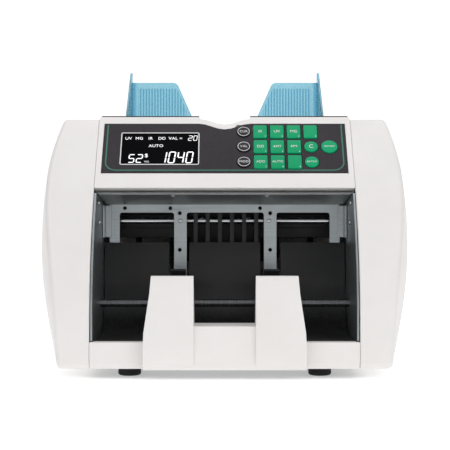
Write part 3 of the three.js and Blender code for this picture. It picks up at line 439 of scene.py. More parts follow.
# %% Clear, glassy and lit finishes
def clear_moulding(name, tint, shaded, rough, pitch=0.0025, ribs=(0.033, 0.0755), top=0.2275, slope=2.24):
    """Dyed clear plastic, with painted shade in the shaded colour: stripes between the ribs and a band beside
    the plate, and the plate's sides darker still.

    The ribs' pitch, their first and last place, the field's top and its slope at the inner end are in metres.
    """
    tint, shaded = colour(*tint), colour(*shaded)
    material, tree, shader = new_finish(name)
    texture = place_group(tree, grain, Scale=600.0)
    touch = place_group(tree, handling, Scale=40.0, Dust=0.2)
    patches = ramp(tree, touch.outputs["Patches"], 0.3, 0.7)
    spot = node(tree, "ShaderNodeSeparateXYZ", Vector=node(tree, "ShaderNodeTexCoord").outputs["Object"])
    facing = node(tree, "ShaderNodeSeparateXYZ", Vector=node(tree, "ShaderNodeNewGeometry").outputs["Normal"])
    across = maths(tree, "ABSOLUTE", spot.outputs["X"], 0.0)
    # Painted shade: a darker blue stripe between each pair of ribs, on the ribbed field of the wing.
    wave = maths(tree, "SINE", maths(tree, "MULTIPLY", across, 2 * math.pi / pitch), 0.0)
    lines = ramp(tree, wave, -0.4, 0.6)
    on_wing = ramp(tree, maths(tree, "ABSOLUTE", facing.outputs["Y"], 0.0), 0.6, 0.8)
    past_first = ramp(tree, across, ribs[0], ribs[0] + 0.0006)
    before_last = ramp(tree, across, ribs[1], ribs[1] - 0.0006)
    in_field = maths(tree, "MULTIPLY", past_first, before_last)
    below_rim = ramp(tree, spot.outputs["Z"], top, top - 0.0007)
    room = maths(tree, "SUBTRACT", maths(tree, "MULTIPLY", across, slope), spot.outputs["Z"])
    inside = maths(tree, "MULTIPLY", below_rim, ramp(tree, room, -0.1344, -0.1334))
    field = maths(tree, "MULTIPLY", maths(tree, "MULTIPLY", on_wing, in_field), inside)
    painted_rib_shade = maths(tree, "MULTIPLY", lines, field)
    # Painted shade: a darker blue band on the wing, just outside the last rib beside the side plate.
    plate_band_shade = maths(tree, "MULTIPLY", on_wing, ramp(tree, across, ribs[1] + 0.0008, ribs[1] + 0.003))
    tone = blend_colour(tree, patches, tint, tuple(0.93 * c for c in tint[:3]) + (1.0,))
    tone = blend_colour(tree, maths(tree, "MAXIMUM", painted_rib_shade, plate_band_shade), tone, shaded)
    # Painted shade: faces turned sideways, the side plate's flanks, take a much darker blue.
    plate_side_shade = ramp(tree, maths(tree, "ABSOLUTE", facing.outputs["X"], 0.0), 0.6, 0.8)
    tone = blend_colour(tree, plate_side_shade, tone, tuple(0.55 * c for c in shaded[:3]) + (1.0,))
    gloss = ramp(tree, touch.outputs["Patches"], 0.3, 0.7, rough, rough + 0.1)
    wire_finish(tree, shader, tone, gloss, texture.outputs["Height"], 0.00001)
    shader.inputs["Transmission Weight"].default_value = 0.8
    shader.inputs["IOR"].default_value = 1.3
    return material


def lit_figures(name, tint, strength):
    """The lit segments of the display, a little uneven along their length."""
    material, tree, shader = new_finish(name)
    touch = place_group(tree, handling, Scale=60.0, Dust=0.0)
    uneven = ramp(tree, touch.outputs["Patches"], 0.3, 0.7)
    glow = blend_colour(tree, uneven, tint, tuple(0.9 * c for c in tint[:3]) + (1.0,))
    tree.links.new(glow, shader.inputs["Emission Color"])
    shader.inputs["Emission Strength"].default_value = strength
    shader.inputs["Base Color"].default_value = (0.5, 0.5, 0.5, 1)
    shader.inputs["Roughness"].default_value = 0.3
    return material


# The second colour is painted shade, for the stripes between the ribs, the band by the plate and the plate's
# sides.
clear_blue = clear_moulding("clear_blue", (162, 218, 236), (104, 180, 212), 0.12)
display_black = moulded(
    "display_black", (6, 5, 8), (4, 4, 6), (14, 14, 16), (0.12, 0.2), 1500.0, 0.000001,
    dust=0.0, wear_width=0.0002, shine=0.015,
)
lit_white = lit_figures("lit_white", (0.95, 0.97, 0.98, 1.0), 0.9)
print("clear and lit finishes ready")

# %% [markdown]
# ## Tools for shapes
# Most pieces are flat sheets and mouldings whose engineering shape is already right, but whose edges
# are perfectly sharp. No real edge is: the press or the mould leaves a small radius that catches the
# light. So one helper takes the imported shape, merges its coplanar triangles, rounds the edges that turn
# by more than a set angle, and stands the result in for the plain one. Other pieces are made afresh.

# %% From a bmesh to a named piece that rides on its body
def piece(shape, name, material, body, smooth=32.0, stands_for=()):
    """Makes an object of a bmesh, shades it smooth up to an angle, and hangs it on a body."""
    mesh = bpy.data.meshes.new(name)
    bmesh.ops.recalc_face_normals(shape, faces=shape.faces)
    shape.to_mesh(mesh)
    shape.free()
    mesh.polygons.foreach_set("use_smooth", [True] * len(mesh.polygons))
    mesh.set_sharp_from_angle(angle=math.radians(smooth))
    made = bpy.data.objects.new(name, mesh)
    scene.collection.objects.link(made)
    mesh.materials.append(material)
    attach(made, body)
    if stands_for:
        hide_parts(*stands_for)
    return made


BODY_OF = {n: body for body, nodes in frame["record"]["behaviour"]["bodies"].items() for n in nodes}


def flat_faces_lead(made):
    """Lets the large flat faces set the shading, so that only the rounded edges shade softly."""
    step = made.modifiers.new("even_shading", "WEIGHTED_NORMAL")
    step.weight = 100
    step.keep_sharp = True
    return made


def softened(name, material, edge=0.4, turn=32.0, steps=2, smooth=32.0):
    """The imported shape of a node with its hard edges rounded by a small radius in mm."""
    shape = bmesh.new()
    shape.from_mesh(frame["nodes"][name].data)
    bmesh.ops.remove_doubles(shape, verts=shape.verts, dist=1e-6)
    bmesh.ops.dissolve_limit(shape, angle_limit=math.radians(0.4), verts=shape.verts, edges=shape.edges)
    hard = [e for e in shape.edges if len(e.link_faces) == 2 and e.calc_face_angle(0) > math.radians(turn)]
    bmesh.ops.bevel(
        shape, geom=hard, offset=edge / 1000, segments=steps, profile=0.5, affect="EDGES", clamp_overlap=True
    )
    made = piece(shape, f"{name}_finished", material, BODY_OF[name], smooth, (name,))
    return flat_faces_lead(made)


print(len(BODY_OF), "nodes have a body")

# %% Cutting one shape with others
def combined(target, other, operation):
    """Joins another closed mesh to a piece's mesh, or cuts it out."""
    partner = bpy.data.objects.new("partner", other)
    scene.collection.objects.link(partner)
    step = target.modifiers.new("combine", "BOOLEAN")
    step.operation, step.solver, step.object = operation, "EXACT", partner
    evaluated = target.evaluated_get(bpy.context.evaluated_depsgraph_get())
    result = bpy.data.meshes.new_from_object(evaluated)
    target.modifiers.clear()
    target.data = result
    bpy.data.objects.remove(partner)


def carve(target, cutters):
    """Cuts closed cutter shapes out of a piece and keeps the piece's shading."""
    for cutter in cutters:
        combined(target, cutter, "DIFFERENCE")
    target.data.set_sharp_from_angle(angle=math.radians(30))
    return target


def skin(shape, loops):
    """Fills the bands between loops of points that follow each other."""
    for near, far in zip(loops, loops[1:]):
        for i in range(len(near)):
            j = (i + 1) % len(near)
            shape.faces.new((near[i], near[j], far[j], far[i]))


def slab(outline, low, high, place):
    """A closed prism: outline points (a, b) in mm, swept from low to high, each put in place by a function."""
    shape = bmesh.new()
    loops = [[shape.verts.new(place(a, b, c)) for a, b in outline] for c in (low, high)]
    skin(shape, loops)
    shape.faces.new(loops[0][::-1])
    shape.faces.new(loops[1])
    bmesh.ops.recalc_face_normals(shape, faces=shape.faces)
    return shape


def as_mesh(shape):
    """Turns a bmesh into a plain mesh, for use as a cutter."""
    mesh = bpy.data.meshes.new("cutter")
    shape.to_mesh(mesh)
    shape.free()
    return mesh


def merged(shapes):
    """Several bmeshes as one."""
    whole = bmesh.new()
    for shape in shapes:
        mesh = as_mesh(shape)
        whole.from_mesh(mesh)
        bpy.data.meshes.remove(mesh)
    return whole


def rounded(u, v, width, height, radius, steps=6):
    """Outline of a rectangle with round corners, centred at (u, v), counter-clockwise."""
    points = []
    for corner, (su, sv) in enumerate(((1, 1), (-1, 1), (-1, -1), (1, -1))):
        cu, cv = u + su * (width / 2 - radius), v + sv * (height / 2 - radius)
        for i in range(steps + 1):
            angle = math.pi / 2 * (corner + i / steps)
            points.append((cu + radius * math.cos(angle), cv + radius * math.sin(angle)))
    return points

# %% [markdown]
# ## Side covers
# Each cover is one large moulding: a flat rim that meets the panel, and an outer face that swells from
# a crisp front edge to a full crown. It could be a box with a subdivision surface, but its outline is
# exact. So its side outline is drawn first, with round corners, and the face is built in rings from
# that outline to the middle, each point pushed out by a function of its depth and height. The last
# rings turn a small radius round the edge, and run in to the rim and back along the inside.

# %% The outline of a cover, seen from the side
COVER_FRONT = [(0, 26.5), (2, 52), (8, 81), (20, 109), (38, 138)]
COVER_TOP, COVER_DEPTH, COVER_FOOT = 192.0, 232.0, 7.0


def smooth_run(points, before, after, steps=7):
    """A smooth curve through points, with its end directions set by a point before and one after."""
    chain = [before, *points, after]
    run = []
    for p0, p1, p2, p3 in zip(chain, chain[1:], chain[2:], chain[3:]):
        for i in range(steps):
            t = i / steps
            run.append(tuple(
                0.5 * (2 * b + (c - a) * t + (2 * a - 5 * b + 4 * c - d) * t**2 + (3 * b - a - 3 * c + d) * t**3)
                for a, b, c, d in zip(p0, p1, p2, p3)
            ))
    return run + [points[-1]]


def turn_corner(before, corner, after, radius, steps=7):
    """Points of a round corner between two straight edges."""
    a = (Vector(before) - Vector(corner)).normalized()
    b = (Vector(after) - Vector(corner)).normalized()
    half = a.angle(b) / 2
    reach = radius / math.tan(half)
    centre = Vector(corner) + (a + b).normalized() * (radius / math.sin(half))
    start, end = Vector(corner) + a * reach - centre, Vector(corner) + b * reach - centre
    sweep = start.angle(end)
    side = 1 if start.x * end.y - start.y * end.x > 0 else -1
    return [tuple(centre + Matrix.Rotation(side * sweep * i / steps, 2) @ start) for i in range(steps + 1)]


def straight(start, end, step=7.0):
    """Points along a straight edge, without its ends."""
    count = max(1, round(math.dist(start, end) / step))
    return [tuple(s + (e - s) * i / count for s, e in zip(start, end)) for i in range(1, count)]


def joined(runs):
    """Runs of points one after another, with the straight edges between them filled in."""
    line = []
    for run, following in zip(runs, runs[1:] + runs[:1]):
        line += [*run, *straight(run[-1], following[0])]
    return line


front_run = smooth_run(COVER_FRONT, (0.2, 10), (46, 148))
slope_foot = (46, 147.6)
cover_outline = joined([
    turn_corner((0, 26), (0.6, COVER_FOOT), (30, COVER_FOOT), 5)[::-1],
    front_run,
    [slope_foot],
    turn_corner(slope_foot, (83.2, COVER_TOP), (150, COVER_TOP), 4.5),
    turn_corner((150, COVER_TOP), (COVER_DEPTH, COVER_TOP), (COVER_DEPTH, 100), 15, 12),
    turn_corner((COVER_DEPTH, 100), (COVER_DEPTH, COVER_FOOT), (100, COVER_FOOT), 4.5),
])
print(len(cover_outline), "points round a cover")

# %% How far the crown stands out, and the outline moved inwards
CROWN_HEIGHT, CROWN_DEPTH = 92.0, 120.0


def crown(y, z):
    """Half-width of the machine at a place on a cover, in mm."""
    high = z > CROWN_HEIGHT
    reach = COVER_TOP - CROWN_HEIGHT if high else CROWN_HEIGHT - COVER_FOOT
    rise = abs(z - CROWN_HEIGHT) / reach
    barrel = 143 - (143 - (125 if high else 128)) * rise**2
    front = 124 - (0 if high else 4 * rise**2)
    swell = 1 - (1 - min(max(y, 0) / CROWN_DEPTH, 1)) ** 2.4
    return front + (barrel - front) * swell - 5 * (max(y - CROWN_DEPTH, 0) / (COVER_DEPTH - CROWN_DEPTH)) ** 2


def moved_in(outline, distance):
    """A closed outline moved inwards by a distance, point by point."""
    area = sum(a[0] * b[1] - b[0] * a[1] for a, b in zip(outline, outline[1:] + outline[:1]))
    hand = 1 if area > 0 else -1
    result = []
    for i, point in enumerate(outline):
        before, after = outline[i - 1], outline[(i + 1) % len(outline)]
        along = (Vector(after) - Vector(before)).normalized()
        result.append((point[0] - hand * along.y * distance, point[1] + hand * along.x * distance))
    return result


# %% The cover itself, ring by ring
def cover_shell(side, radius=3.2, wall=2.5, rim=97.4):
    """One side cover. side is 1 for the right and -1 for the left."""
    heart = (118.0, 96.0)
    rings = []
    edge = moved_in(cover_outline, radius)
    shares = [math.sin(math.pi / 2 * i / 26) for i in range(1, 27)]
    for share in shares:
        ring = [tuple(h + (p - h) * share for h, p in zip(heart, point)) for point in edge]
        rings.append([(crown(*p), *p) for p in ring])
    for i in range(1, 7):
        angle = math.pi / 2 * i / 6
        ring = moved_in(cover_outline, radius * (1 - math.sin(angle)))
        rings.append([(crown(*p) - radius * (1 - math.cos(angle)), *p) for p in ring])
    for inset, x in ((0, rim + 12), (0, rim + 0.6), (0.6, rim), (wall - 0.6, rim), (wall, rim + 0.6)):
        rings.append([(x, *p) for p in moved_in(cover_outline, inset)])
    inner = moved_in(cover_outline, wall)
    rings.append([(crown(*p) - wall - radius, *p) for p in inner])
    for share in (0.95, 0.8, 0.5, 0.25):
        ring = [tuple(h + (p - h) * share for h, p in zip(heart, point)) for point in inner]
        rings.append([(crown(*p) - wall, *p) for p in ring])
    shape = bmesh.new()
    loops = [[shape.verts.new(at(side * x, y, z)) for x, y, z in ring] for ring in rings]
    count = len(cover_outline)
    skin(shape, loops)
    for loop, x in ((loops[0], crown(*heart)), (loops[-1], crown(*heart) - wall)):
        middle = shape.verts.new(at(side * x, *heart))
        for i in range(count):
            shape.faces.new((middle, loop[i], loop[(i + 1) % count]))
    return shape


def vent_cutters(side):
    """Five long slots with round ends, low at the rear of a cover, as cutters."""
    slots = []
    for i in range(5):
        outline = rounded(172, 44 + i * 9, 46, 4, 1.95, 5)
        slots.append(as_mesh(slab(outline, 110, 150, lambda y, z, x: at(side * x, y, z))))
    return slots


for side, word in ((1, "right"), (-1, "left")):
    cover = piece(
        cover_shell(side), f"{word}_cover", warm_white, "machine", 30, (f"{word}_side_cover",)
    )
    carve(cover, vent_cutters(side))
    print(cover.name, len(cover.data.polygons), "faces")

# %% [markdown]
# ## The panel lid, lip and stacker plate
# These three white mouldings make the front. Their shapes are flat faces and plain bends, so the packed
# shapes serve, with rounded edges. The stacker plate gets the largest radius: hands reach round its
# prongs all day, and its upper corners are soft on the real machine.

# %% Front mouldings
def close_seam(made, side=95.5, extra=0.6):
    """Moves a piece's two ends outwards, so that only a thin seam is left beside the covers."""
    for vert in made.data.vertices:
        if abs(vert.co.x) > side / 1000:
            vert.co.x += math.copysign(extra / 1000, vert.co.x)
    return made


lid = close_seam(softened("panel_lid", warm_white, edge=0.7, steps=3))
lip = close_seam(softened("front_lip", warm_white, edge=0.5, steps=3))
stacker_plate = softened("stacker_front_plate", warm_white, edge=1.1, steps=4)
print("front mouldings:", lid.name, lip.name, stacker_plate.name)

# %% [markdown]
# ## The control film
# The panel is a printed film let into the lid's slope. Its outline follows the lid's upper edge, with
# the dip in the middle. A thin green line runs round it, in from the edge, and is open at the top. All
# of it lies on a slope, so one function gives places on that slope: across, up the slope and out of it.

# %% Places on the slope
SLOPE_FOOT, SLOPE_HEAD = (46.0, 148.0), (83.0, 192.5)
SLOPE = math.atan2(SLOPE_HEAD[1] - SLOPE_FOOT[1], SLOPE_HEAD[0] - SLOPE_FOOT[0])
SLOPE_LENGTH = math.dist(SLOPE_FOOT, SLOPE_HEAD)


def on_slope(x, up, out):
    """A place on the control panel: x mm across, up mm from its lower bend, out mm above its face."""
    y = SLOPE_FOOT[0] + up * math.cos(SLOPE) - out * math.sin(SLOPE)
    return at(x, y, SLOPE_FOOT[1] + up * math.sin(SLOPE) + out * math.cos(SLOPE))


def band(path, width, low, high, place, closed=False):
    """A thin flat strip of a given width along a path of (a, b) points, with a rectangular section."""
    shape = bmesh.new()
    rows = []
    for i, point in enumerate(path):
        before = path[i - 1] if closed or i else point
        after = path[(i + 1) % len(path)] if closed or i + 1 < len(path) else point
        along = (Vector(after) - Vector(before)).normalized()
        side = Vector((-along.y, along.x)) * width / 2
        corners = ((-1, low), (-1, high), (1, high), (1, low))
        ends = [(point[0] + k * side.x, point[1] + k * side.y, h) for k, h in corners]
        rows.append([shape.verts.new(place(*e)) for e in ends])
    skin(shape, rows + rows[:1] if closed else rows)
    if not closed:
        shape.faces.new(rows[0][::-1])
        shape.faces.new(rows[-1])
    return shape


softened("panel_overlay", control_film, edge=0.12, steps=2)
film_top = SLOPE_LENGTH - 5.4
line_left = [(-90.2, film_top - 1.2), (-90.2, 12.5)]
line_turn = [math.pi / 2 * i / 10 for i in range(1, 11)]
line_corner = [(-82.2 - 8 * math.cos(a), 12.5 - 8 * math.sin(a)) for a in line_turn]
line_half = line_left + line_corner
line_path = line_half + [(-x, up) for x, up in reversed(line_half)]
piece(band(line_path, 1.0, -0.02, 0.05, on_slope), "green_border_line", film_green, "machine")
print("film with its border line")

# %% [markdown]
# ## The display
# The display is a black window flush with the film, and a white line is printed round it. Its figures
# are segments, as on a calculator: each digit is up to seven short bars, leaning a little to the
# right. The digits are drawn from one table of bars, and the small function names above them are text.
# Text is made as a curve object, turned into a mesh and laid on the slope.

# %% The window, its printed line and segment digits
window_at, window_size = (-49.5, 26.6), (59.0, 32.0)
glass = slab(rounded(*window_at, window_size[0] - 0.8, window_size[1] - 0.8, 0.8), -1.2, 0.12, on_slope)
glass_rims = [e for e in glass.edges if e.calc_face_angle(0) > 0.8]
bmesh.ops.bevel(glass, geom=glass_rims, offset=0.0001, segments=2, affect="EDGES")
piece(glass, "display_glass", display_black, "machine", stands_for=("display_window",))
outline_path = rounded(*window_at, window_size[0] + 0.5, window_size[1] + 0.5, 1.1)
display_line = band(outline_path, 0.75, -0.02, 0.06, on_slope, closed=True)
piece(display_line, "display_outline", print_white, "machine")

BARS = {
    "0": "abcdef", "1": "bc", "2": "abged", "3": "abgcd", "4": "fgbc",
    "5": "afgcd", "6": "afgcde", "7": "abc", "8": "abcdefg", "9": "abcdfg",
}
BAR_ENDS = {
    "a": ((0, 2), (1, 2)), "b": ((1, 2), (1, 1)), "c": ((1, 1), (1, 0)), "d": ((0, 0), (1, 0)),
    "e": ((0, 0), (0, 1)), "f": ((0, 1), (0, 2)), "g": ((0, 1), (1, 1)),
}


def segment_number(text, left, low, height, width, pitch, thick, lean=0.12):
    """A number in display bars, as one bmesh of flat hexagonal bars."""
    bars = []
    for place, digit in enumerate(text):
        for bar in BARS[digit]:
            (u0, v0), (u1, v1) = [(u * width, v * height / 2) for u, v in BAR_ENDS[bar]]
            along = (Vector((u1, v1)) - Vector((u0, v0))).normalized()
            side = Vector((-along.y, along.x)) * thick / 2
            a, b = Vector((u0, v0)) + along * 0.12 * thick, Vector((u1, v1)) - along * 0.12 * thick
            inner_a, inner_b = a + along * thick / 2, b - along * thick / 2
            corners = [a, inner_a - side, inner_b - side, b, inner_b + side, inner_a + side]
            outline = [(left + place * pitch + c.x + lean * c.y, low + c.y) for c in corners]
            bars.append(slab(outline, 0.1, 0.2, on_slope))
    return merged(bars)


FIGURES = {
    "count_figures": ("52", -73.2, 12.2, 7.9, 4.0, 6.0, 0.85),
    "total_figures": ("1040", -49.7, 11.8, 11.0, 4.4, 6.7, 1.0),
    "value_figures": ("20", -28.0, 34.8, 4.9, 2.6, 3.9, 0.48),
}
for name, figures in FIGURES.items():
    piece(segment_number(*figures), name, lit_white, "machine")
print("display figures")


# %% Small text laid on the slope
def small_text(text, size, middle, low, out=0.1, thick=0.1):
    """Generic lettering as a bmesh: size in mm, centred at middle, standing on low."""
    curve = bpy.data.curves.new("lettering", "FONT")
    curve.body = text
    curve.size = size
    curve.align_x = "CENTER"
    curve.extrude = thick / 2
    curve.space_character = 1.05
    holder = bpy.data.objects.new("lettering", curve)
    scene.collection.objects.link(holder)
    mesh = bpy.data.meshes.new_from_object(holder.evaluated_get(bpy.context.evaluated_depsgraph_get()))
    bpy.data.objects.remove(holder)
    shape = bmesh.new()
    shape.from_mesh(mesh)
    for vert in shape.verts:
        vert.co = on_slope(middle + vert.co.x, low + vert.co.y, out + vert.co.z)
    bmesh.ops.remove_doubles(shape, verts=shape.verts, dist=1e-7)
    bpy.data.meshes.remove(mesh)
    return shape


display_words = [("UV", -73.9), ("MG", -65.6), ("IR", -57.0), ("DD", -48.2), ("VAL =", -37.8)]
words = [small_text(word, 3.9, x, 35.7) for word, x in display_words]
words += [small_text("AUTO", 3.9, -52.6, 28.0), small_text("$", 5.2, -59.6, 17.6)]
words.append(small_text("PCS", 2.0, -59.2, 12.3))
piece(merged(words), "display_words", lit_white, "machine")
print(len(words), "display words")

# %% [markdown]
# ## The keys
# Each key is its own cap that slides in a hole in the film. A cap has an upright wall, a rounded edge
# and a face that bulges by a fraction of a millimetre, so that each one takes its own highlight. It is
# built from its outline in rings, from the foot of the wall to the middle of the face. The lettering is
# printed on each cap and moves with it, so it rides on the same body as the cap.

# %% Key caps from rings
KEY_ROWS, KEY_COLUMNS = (43.6, 28.0, 12.4), (27.3, 40.2, 53.1, 66.0)
KEYS = {}
for row, (word, count) in enumerate((("top", 4), ("middle", 3), ("lower", 3))):
    for column in range(count):
        KEYS[f"key_{word}_{column + 1}"] = (KEY_COLUMNS[column], KEY_ROWS[row], 10.6, 13.4, key_green)
for row, word in enumerate(("currency", "value", "mode")):
    KEYS[f"key_{word}"] = (14.6, KEY_ROWS[row], 10.4, 10.4, key_dark)
KEYS["key_clear"] = (66.0, 28.0, 10.6, 10.6, key_green)
KEYS["key_batch"] = (66.0, 12.4, 10.6, 10.6, key_green)
KEYS["key_restart"] = (80.0, 28.0, 12.6, 12.6, key_green)


def key_cap(x, up, width, height):
    """A crowned cap, its foot 3.2 mm under the film and its edge 0.9 mm above it."""
    radius = 1.1 if height > width else width / 2
    steps = 6 if height > width else 12
    levels = [(0, -3.2), (0, 0.5)]
    turns = [math.pi / 8 * i for i in range(1, 5)]
    levels += [(0.4 * (1 - math.cos(a)), 0.5 + 0.4 * math.sin(a)) for a in turns]
    outline = rounded(x, up, width, height, radius, steps)
    rings = []
    for inset, out in levels:
        narrower, shorter = 1 - 2 * inset / width, 1 - 2 * inset / height
        rings.append([(x + (u - x) * narrower, up + (v - up) * shorter, out) for u, v in outline])
    base = rings[-1]
    for share in (0.7, 0.4):
        lift = 0.9 + 0.28 * (1 - share**2)
        rings.append([(x + (u - x) * share, up + (v - up) * share, lift) for u, v, _ in base])
    shape = bmesh.new()
    loops = [[shape.verts.new(on_slope(*point)) for point in ring] for ring in rings]
    skin(shape, loops)
    shape.faces.new(loops[0])
    shape.faces.new(loops[-1])
    return shape


for name, (x, up, width, height, finish) in KEYS.items():
    cap = key_cap(x, up, width, height)
    piece(cap, f"{name}_cap", finish, BODY_OF[name], 40, (name,))
print(len(KEYS), "key caps")

# %% Printing on the caps
KEY_WORDS = {
    "key_top_1": "IR", "key_top_2": "UV", "key_top_3": "MG", "key_middle_1": "DD", "key_middle_2": "AMT",
    "key_middle_3": "RPT", "key_lower_1": "ADD", "key_lower_2": "AUTO", "key_clear": "C", "key_batch": "BATCH",
    "key_restart": "RESTART", "key_currency": "CUR", "key_value": "VAL", "key_mode": "MOD",
}
KEY_NUMBERS = dict(zip(
    [f"key_{row}_{i}" for row in ("top", "middle", "lower") for i in (1, 2, 3)] + ["key_top_4"], "1234567890"
))
for name, (x, up, width, height, finish) in KEYS.items():
    marks = []
    if name in KEY_WORDS:
        word = KEY_WORDS[name]
        size = 5.0 if word == "C" else {2: 3.6, 3: 3.0, 4: 2.9, 5: 2.2}.get(len(word), 2.0)
        marks.append(small_text(word, size, x, up - size * 0.35, out=1.14))
    if name in KEY_NUMBERS:
        marks.append(small_text(KEY_NUMBERS[name], 1.9, x + 3.9, up - 5.7, out=0.95, thick=0.12))
    if finish is key_dark:
        ring = rounded(x, up, width - 1.5, height - 1.5, (width - 1.5) / 2, 12)
        marks.append(band(ring, 0.4, 0.86, 0.99, on_slope, closed=True))
    if marks:
        piece(merged(marks), f"{name}_print", print_white, BODY_OF[name])
print("caps printed")

# %% [markdown]
# ## The hopper guides
# Two clear blue guides hold the notes in line. Each is a side plate whose top edge climbs to the rear,
# with a wing across the back. The wing's face has fine upright ribs, with a smooth border round them,
# and painted shade between the ribs makes the blue look finely striped; a band beside the plate and the
# plate's sides get painted shade too. A clear piece must be one closed skin, since light would show
# every wall left inside it. So its parts are joined with boolean unions.

# %% Slabs with rounded edges
def round_slab(outline, low, high, place, edge=0.5):
    """A slab whose long edges are rounded, as a moulding's are."""
    shape = slab(outline, low, high, place)
    rims = [e for e in shape.edges if any(len(f.verts) > 4 for f in e.link_faces)]
    bmesh.ops.bevel(
        shape, geom=rims, offset=edge / 1000, segments=3, profile=0.5, affect="EDGES", clamp_overlap=True
    )
    return shape


BED_FRONT, BED_BACK = (95.0, 158.0), (186.0, 189.8)


def bed_height(y):
    """Height of the hopper's bed at a depth."""
    return BED_FRONT[1] + (y - BED_FRONT[0]) * (BED_BACK[1] - BED_FRONT[1]) / (BED_BACK[0] - BED_FRONT[0])


GUIDE_FACE, GUIDE_WING, WING_SLOPE = 80.0, 203.0, 2.24
RIBS, FIRST_RIB, RIB_PITCH = 17, 34.5, 2.5


def hopper_guide(side, word):
    """One guide: side plate, wing with ribs, and the tongue that runs in the bed's track."""
    across = lambda y, z, x: at(side * x, y, z)
    facing = lambda x, z, y: at(side * x, y, z)
    plate = [(104, bed_height(104) + 0.6), (182, bed_height(182) + 0.6), (183, 193), (207, 193)]
    plate += turn_corner((207, 193), (207, 244), (190, 233), 4, 5)
    plate += [(146, 198), (112, 172)]
    made = piece(round_slab(plate, GUIDE_FACE, GUIDE_FACE + 2, across, 0.6), f"{word}_guide", clear_blue,
                 f"{word}_guide", 30, (f"{word}_hopper_guide",))
    wing = [(28, 193), *turn_corner((28, 193), (28.6, 203.5), (41.5, 232.4), 5, 4)]
    wing += [*turn_corner((28.6, 203.5), (41.5, 232.4), (70, 232.4), 5, 6), (81, 232.4), (81, 193)]
    combined(made, as_mesh(round_slab(wing, GUIDE_WING, GUIDE_WING + 2, facing, 0.5)), "UNION")
    for i in range(RIBS):
        x = FIRST_RIB + RIB_PITCH * i
        top = min(228.0, 203.5 + (x - 28.6) * WING_SLOPE - 5)
        if top > 200:
            rib = [(x - 0.6, 196), (x + 0.6, 196), (x + 0.6, top), (x - 0.6, top)]
            combined(made, as_mesh(slab(rib, GUIDE_WING - 0.7, GUIDE_WING + 0.4, facing)), "UNION")
    tongue = slab(rounded(81, bed_height(170) - 2, 4, 10, 0.8, 2), 169, 171, facing)
    combined(made, as_mesh(tongue), "UNION")
    made.data.set_sharp_from_angle(angle=math.radians(30))
    return flat_faces_lead(made)


for side, word in ((1, "right"), (-1, "left")):
    print(hopper_guide(side, word).name, "ribbed guide")

# %% [markdown]
# ## Turned parts
# Shafts, rollers, pulleys, feet, knobs and the motor are all made on a lathe or look as if they were.
# A turned part is a profile of steps spun round its axis, so each one here is a short list of places
# along the axis and radii. Small chamfers are part of the profile, because a turner breaks every edge.

# %% The lathe
def spun(steps, centre, axis="X", sides=56, bore=0.0):
    """A closed turned shape: steps of (along, radius) in mm, about an axis through centre (mm)."""
    shape = bmesh.new()
    rings = [(a, max(r, 1e-4)) for a, r in steps]
    rings = [(steps[0][0], bore), *rings, (steps[-1][0], bore)] if bore else rings
    loops = []
    for along, radius in rings:
        loop = []
        for i in range(sides):
            u, v = radius * math.cos(2 * math.pi * i / sides), radius * math.sin(2 * math.pi * i / sides)
            offset = {"X": (along, u, v), "Y": (u, along, v), "Z": (u, v, along)}[axis]
            loop.append(shape.verts.new(at(*(c + o for c, o in zip(centre, offset)))))
        loops.append(loop)
    skin(shape, loops + loops[:1] if bore else loops)
    if not bore:
        shape.faces.new(loops[0][::-1])
        shape.faces.new(loops[-1])
    return shape


SHAFTS = {
    "feed": (108, 143), "pickup": (124, 156.4), "transport": (110, 113), "motor": (172, 62), "stacker": (69, 50),
}


def on_shaft(name):
    """The centre of a shaft, at the middle of the machine."""
    return (0, *SHAFTS[name])


def pulley_steps(start, radius):
    """A flanged pulley, eight millimetres wide."""
    flange = [(start, radius + 0.4), (start + 0.2, radius + 0.9), (start + 0.8, radius + 0.9)]
    return flange + [(start + 0.9, radius), (start + 7.6, radius), (start + 8.0, radius - 0.4)]


# %% Shafts and pulleys
def shaft_piece(name, radius, right_end, left_pulley, right_pulley, material):
    """A shaft with its pulleys, in one turned profile from left to right."""
    left_end = -109.0 if left_pulley else -98.5
    steps = [(left_end, radius - 0.5), (left_end + 0.5, radius)]
    if left_pulley:
        steps += [(-108.2, radius), *pulley_steps(-108.0, left_pulley), (-99.9, radius)]
    if right_pulley:
        steps += [(99.9, radius), *pulley_steps(100.0, right_pulley), (108.1, radius)]
    steps += [(right_end - 0.5, radius), (right_end, radius - 0.5)]
    shaft, node_name = spun(steps, on_shaft(name)), f"{name}_shaft"
    piece(shaft, f"{name}_spindle", material, BODY_OF[node_name], 30, (node_name,))


black_oxide = metal("black_oxide", (58, 59, 62), (48, 49, 52), (0.32, 0.42), along=900.0, across=60.0)
shaft_piece("feed", 3.0, 109.0, 9.0, 8.0, ground_steel)
shaft_piece("pickup", 3.0, 98.0, 9.0, 0, ground_steel)
shaft_piece("transport", 2.5, 98.0, 9.0, 0, ground_steel)
shaft_piece("stacker", 3.0, 109.0, 0, 14.0, black_oxide)
motor_steps = [(-109.0, 2.0), (-108.5, 2.5), (-108.2, 2.5), *pulley_steps(-108.0, 8.0)]
motor_steps += [(-99.9, 2.5), (-66.5, 2.5), (-66, 2)]
motor_spindle = spun(motor_steps, on_shaft("motor"))
piece(motor_spindle, "motor_spindle", ground_steel, "motor_rotor", 30, ("motor_pulley",))
print("shafts turned")

# %% Rollers with a grooved tread
def roller_steps(middle, width, radius, grooves):
    """A rubber roller: rounded shoulders and shallow grooves round its tread."""
    half = width / 2
    steps = [(middle - half, radius - 1.0), (middle - half + 0.3, radius - 0.4), (middle - half + 0.9, radius)]
    for i in range(grooves):
        groove = middle - half + width * (i + 1) / (grooves + 1)
        steps += [(groove - 0.5, radius), (groove - 0.35, radius - 0.6)]
        steps += [(groove + 0.35, radius - 0.6), (groove + 0.5, radius)]
    steps += [(middle + half - 0.9, radius), (middle + half - 0.3, radius - 0.4)]
    return steps + [(middle + half, radius - 1.0)]


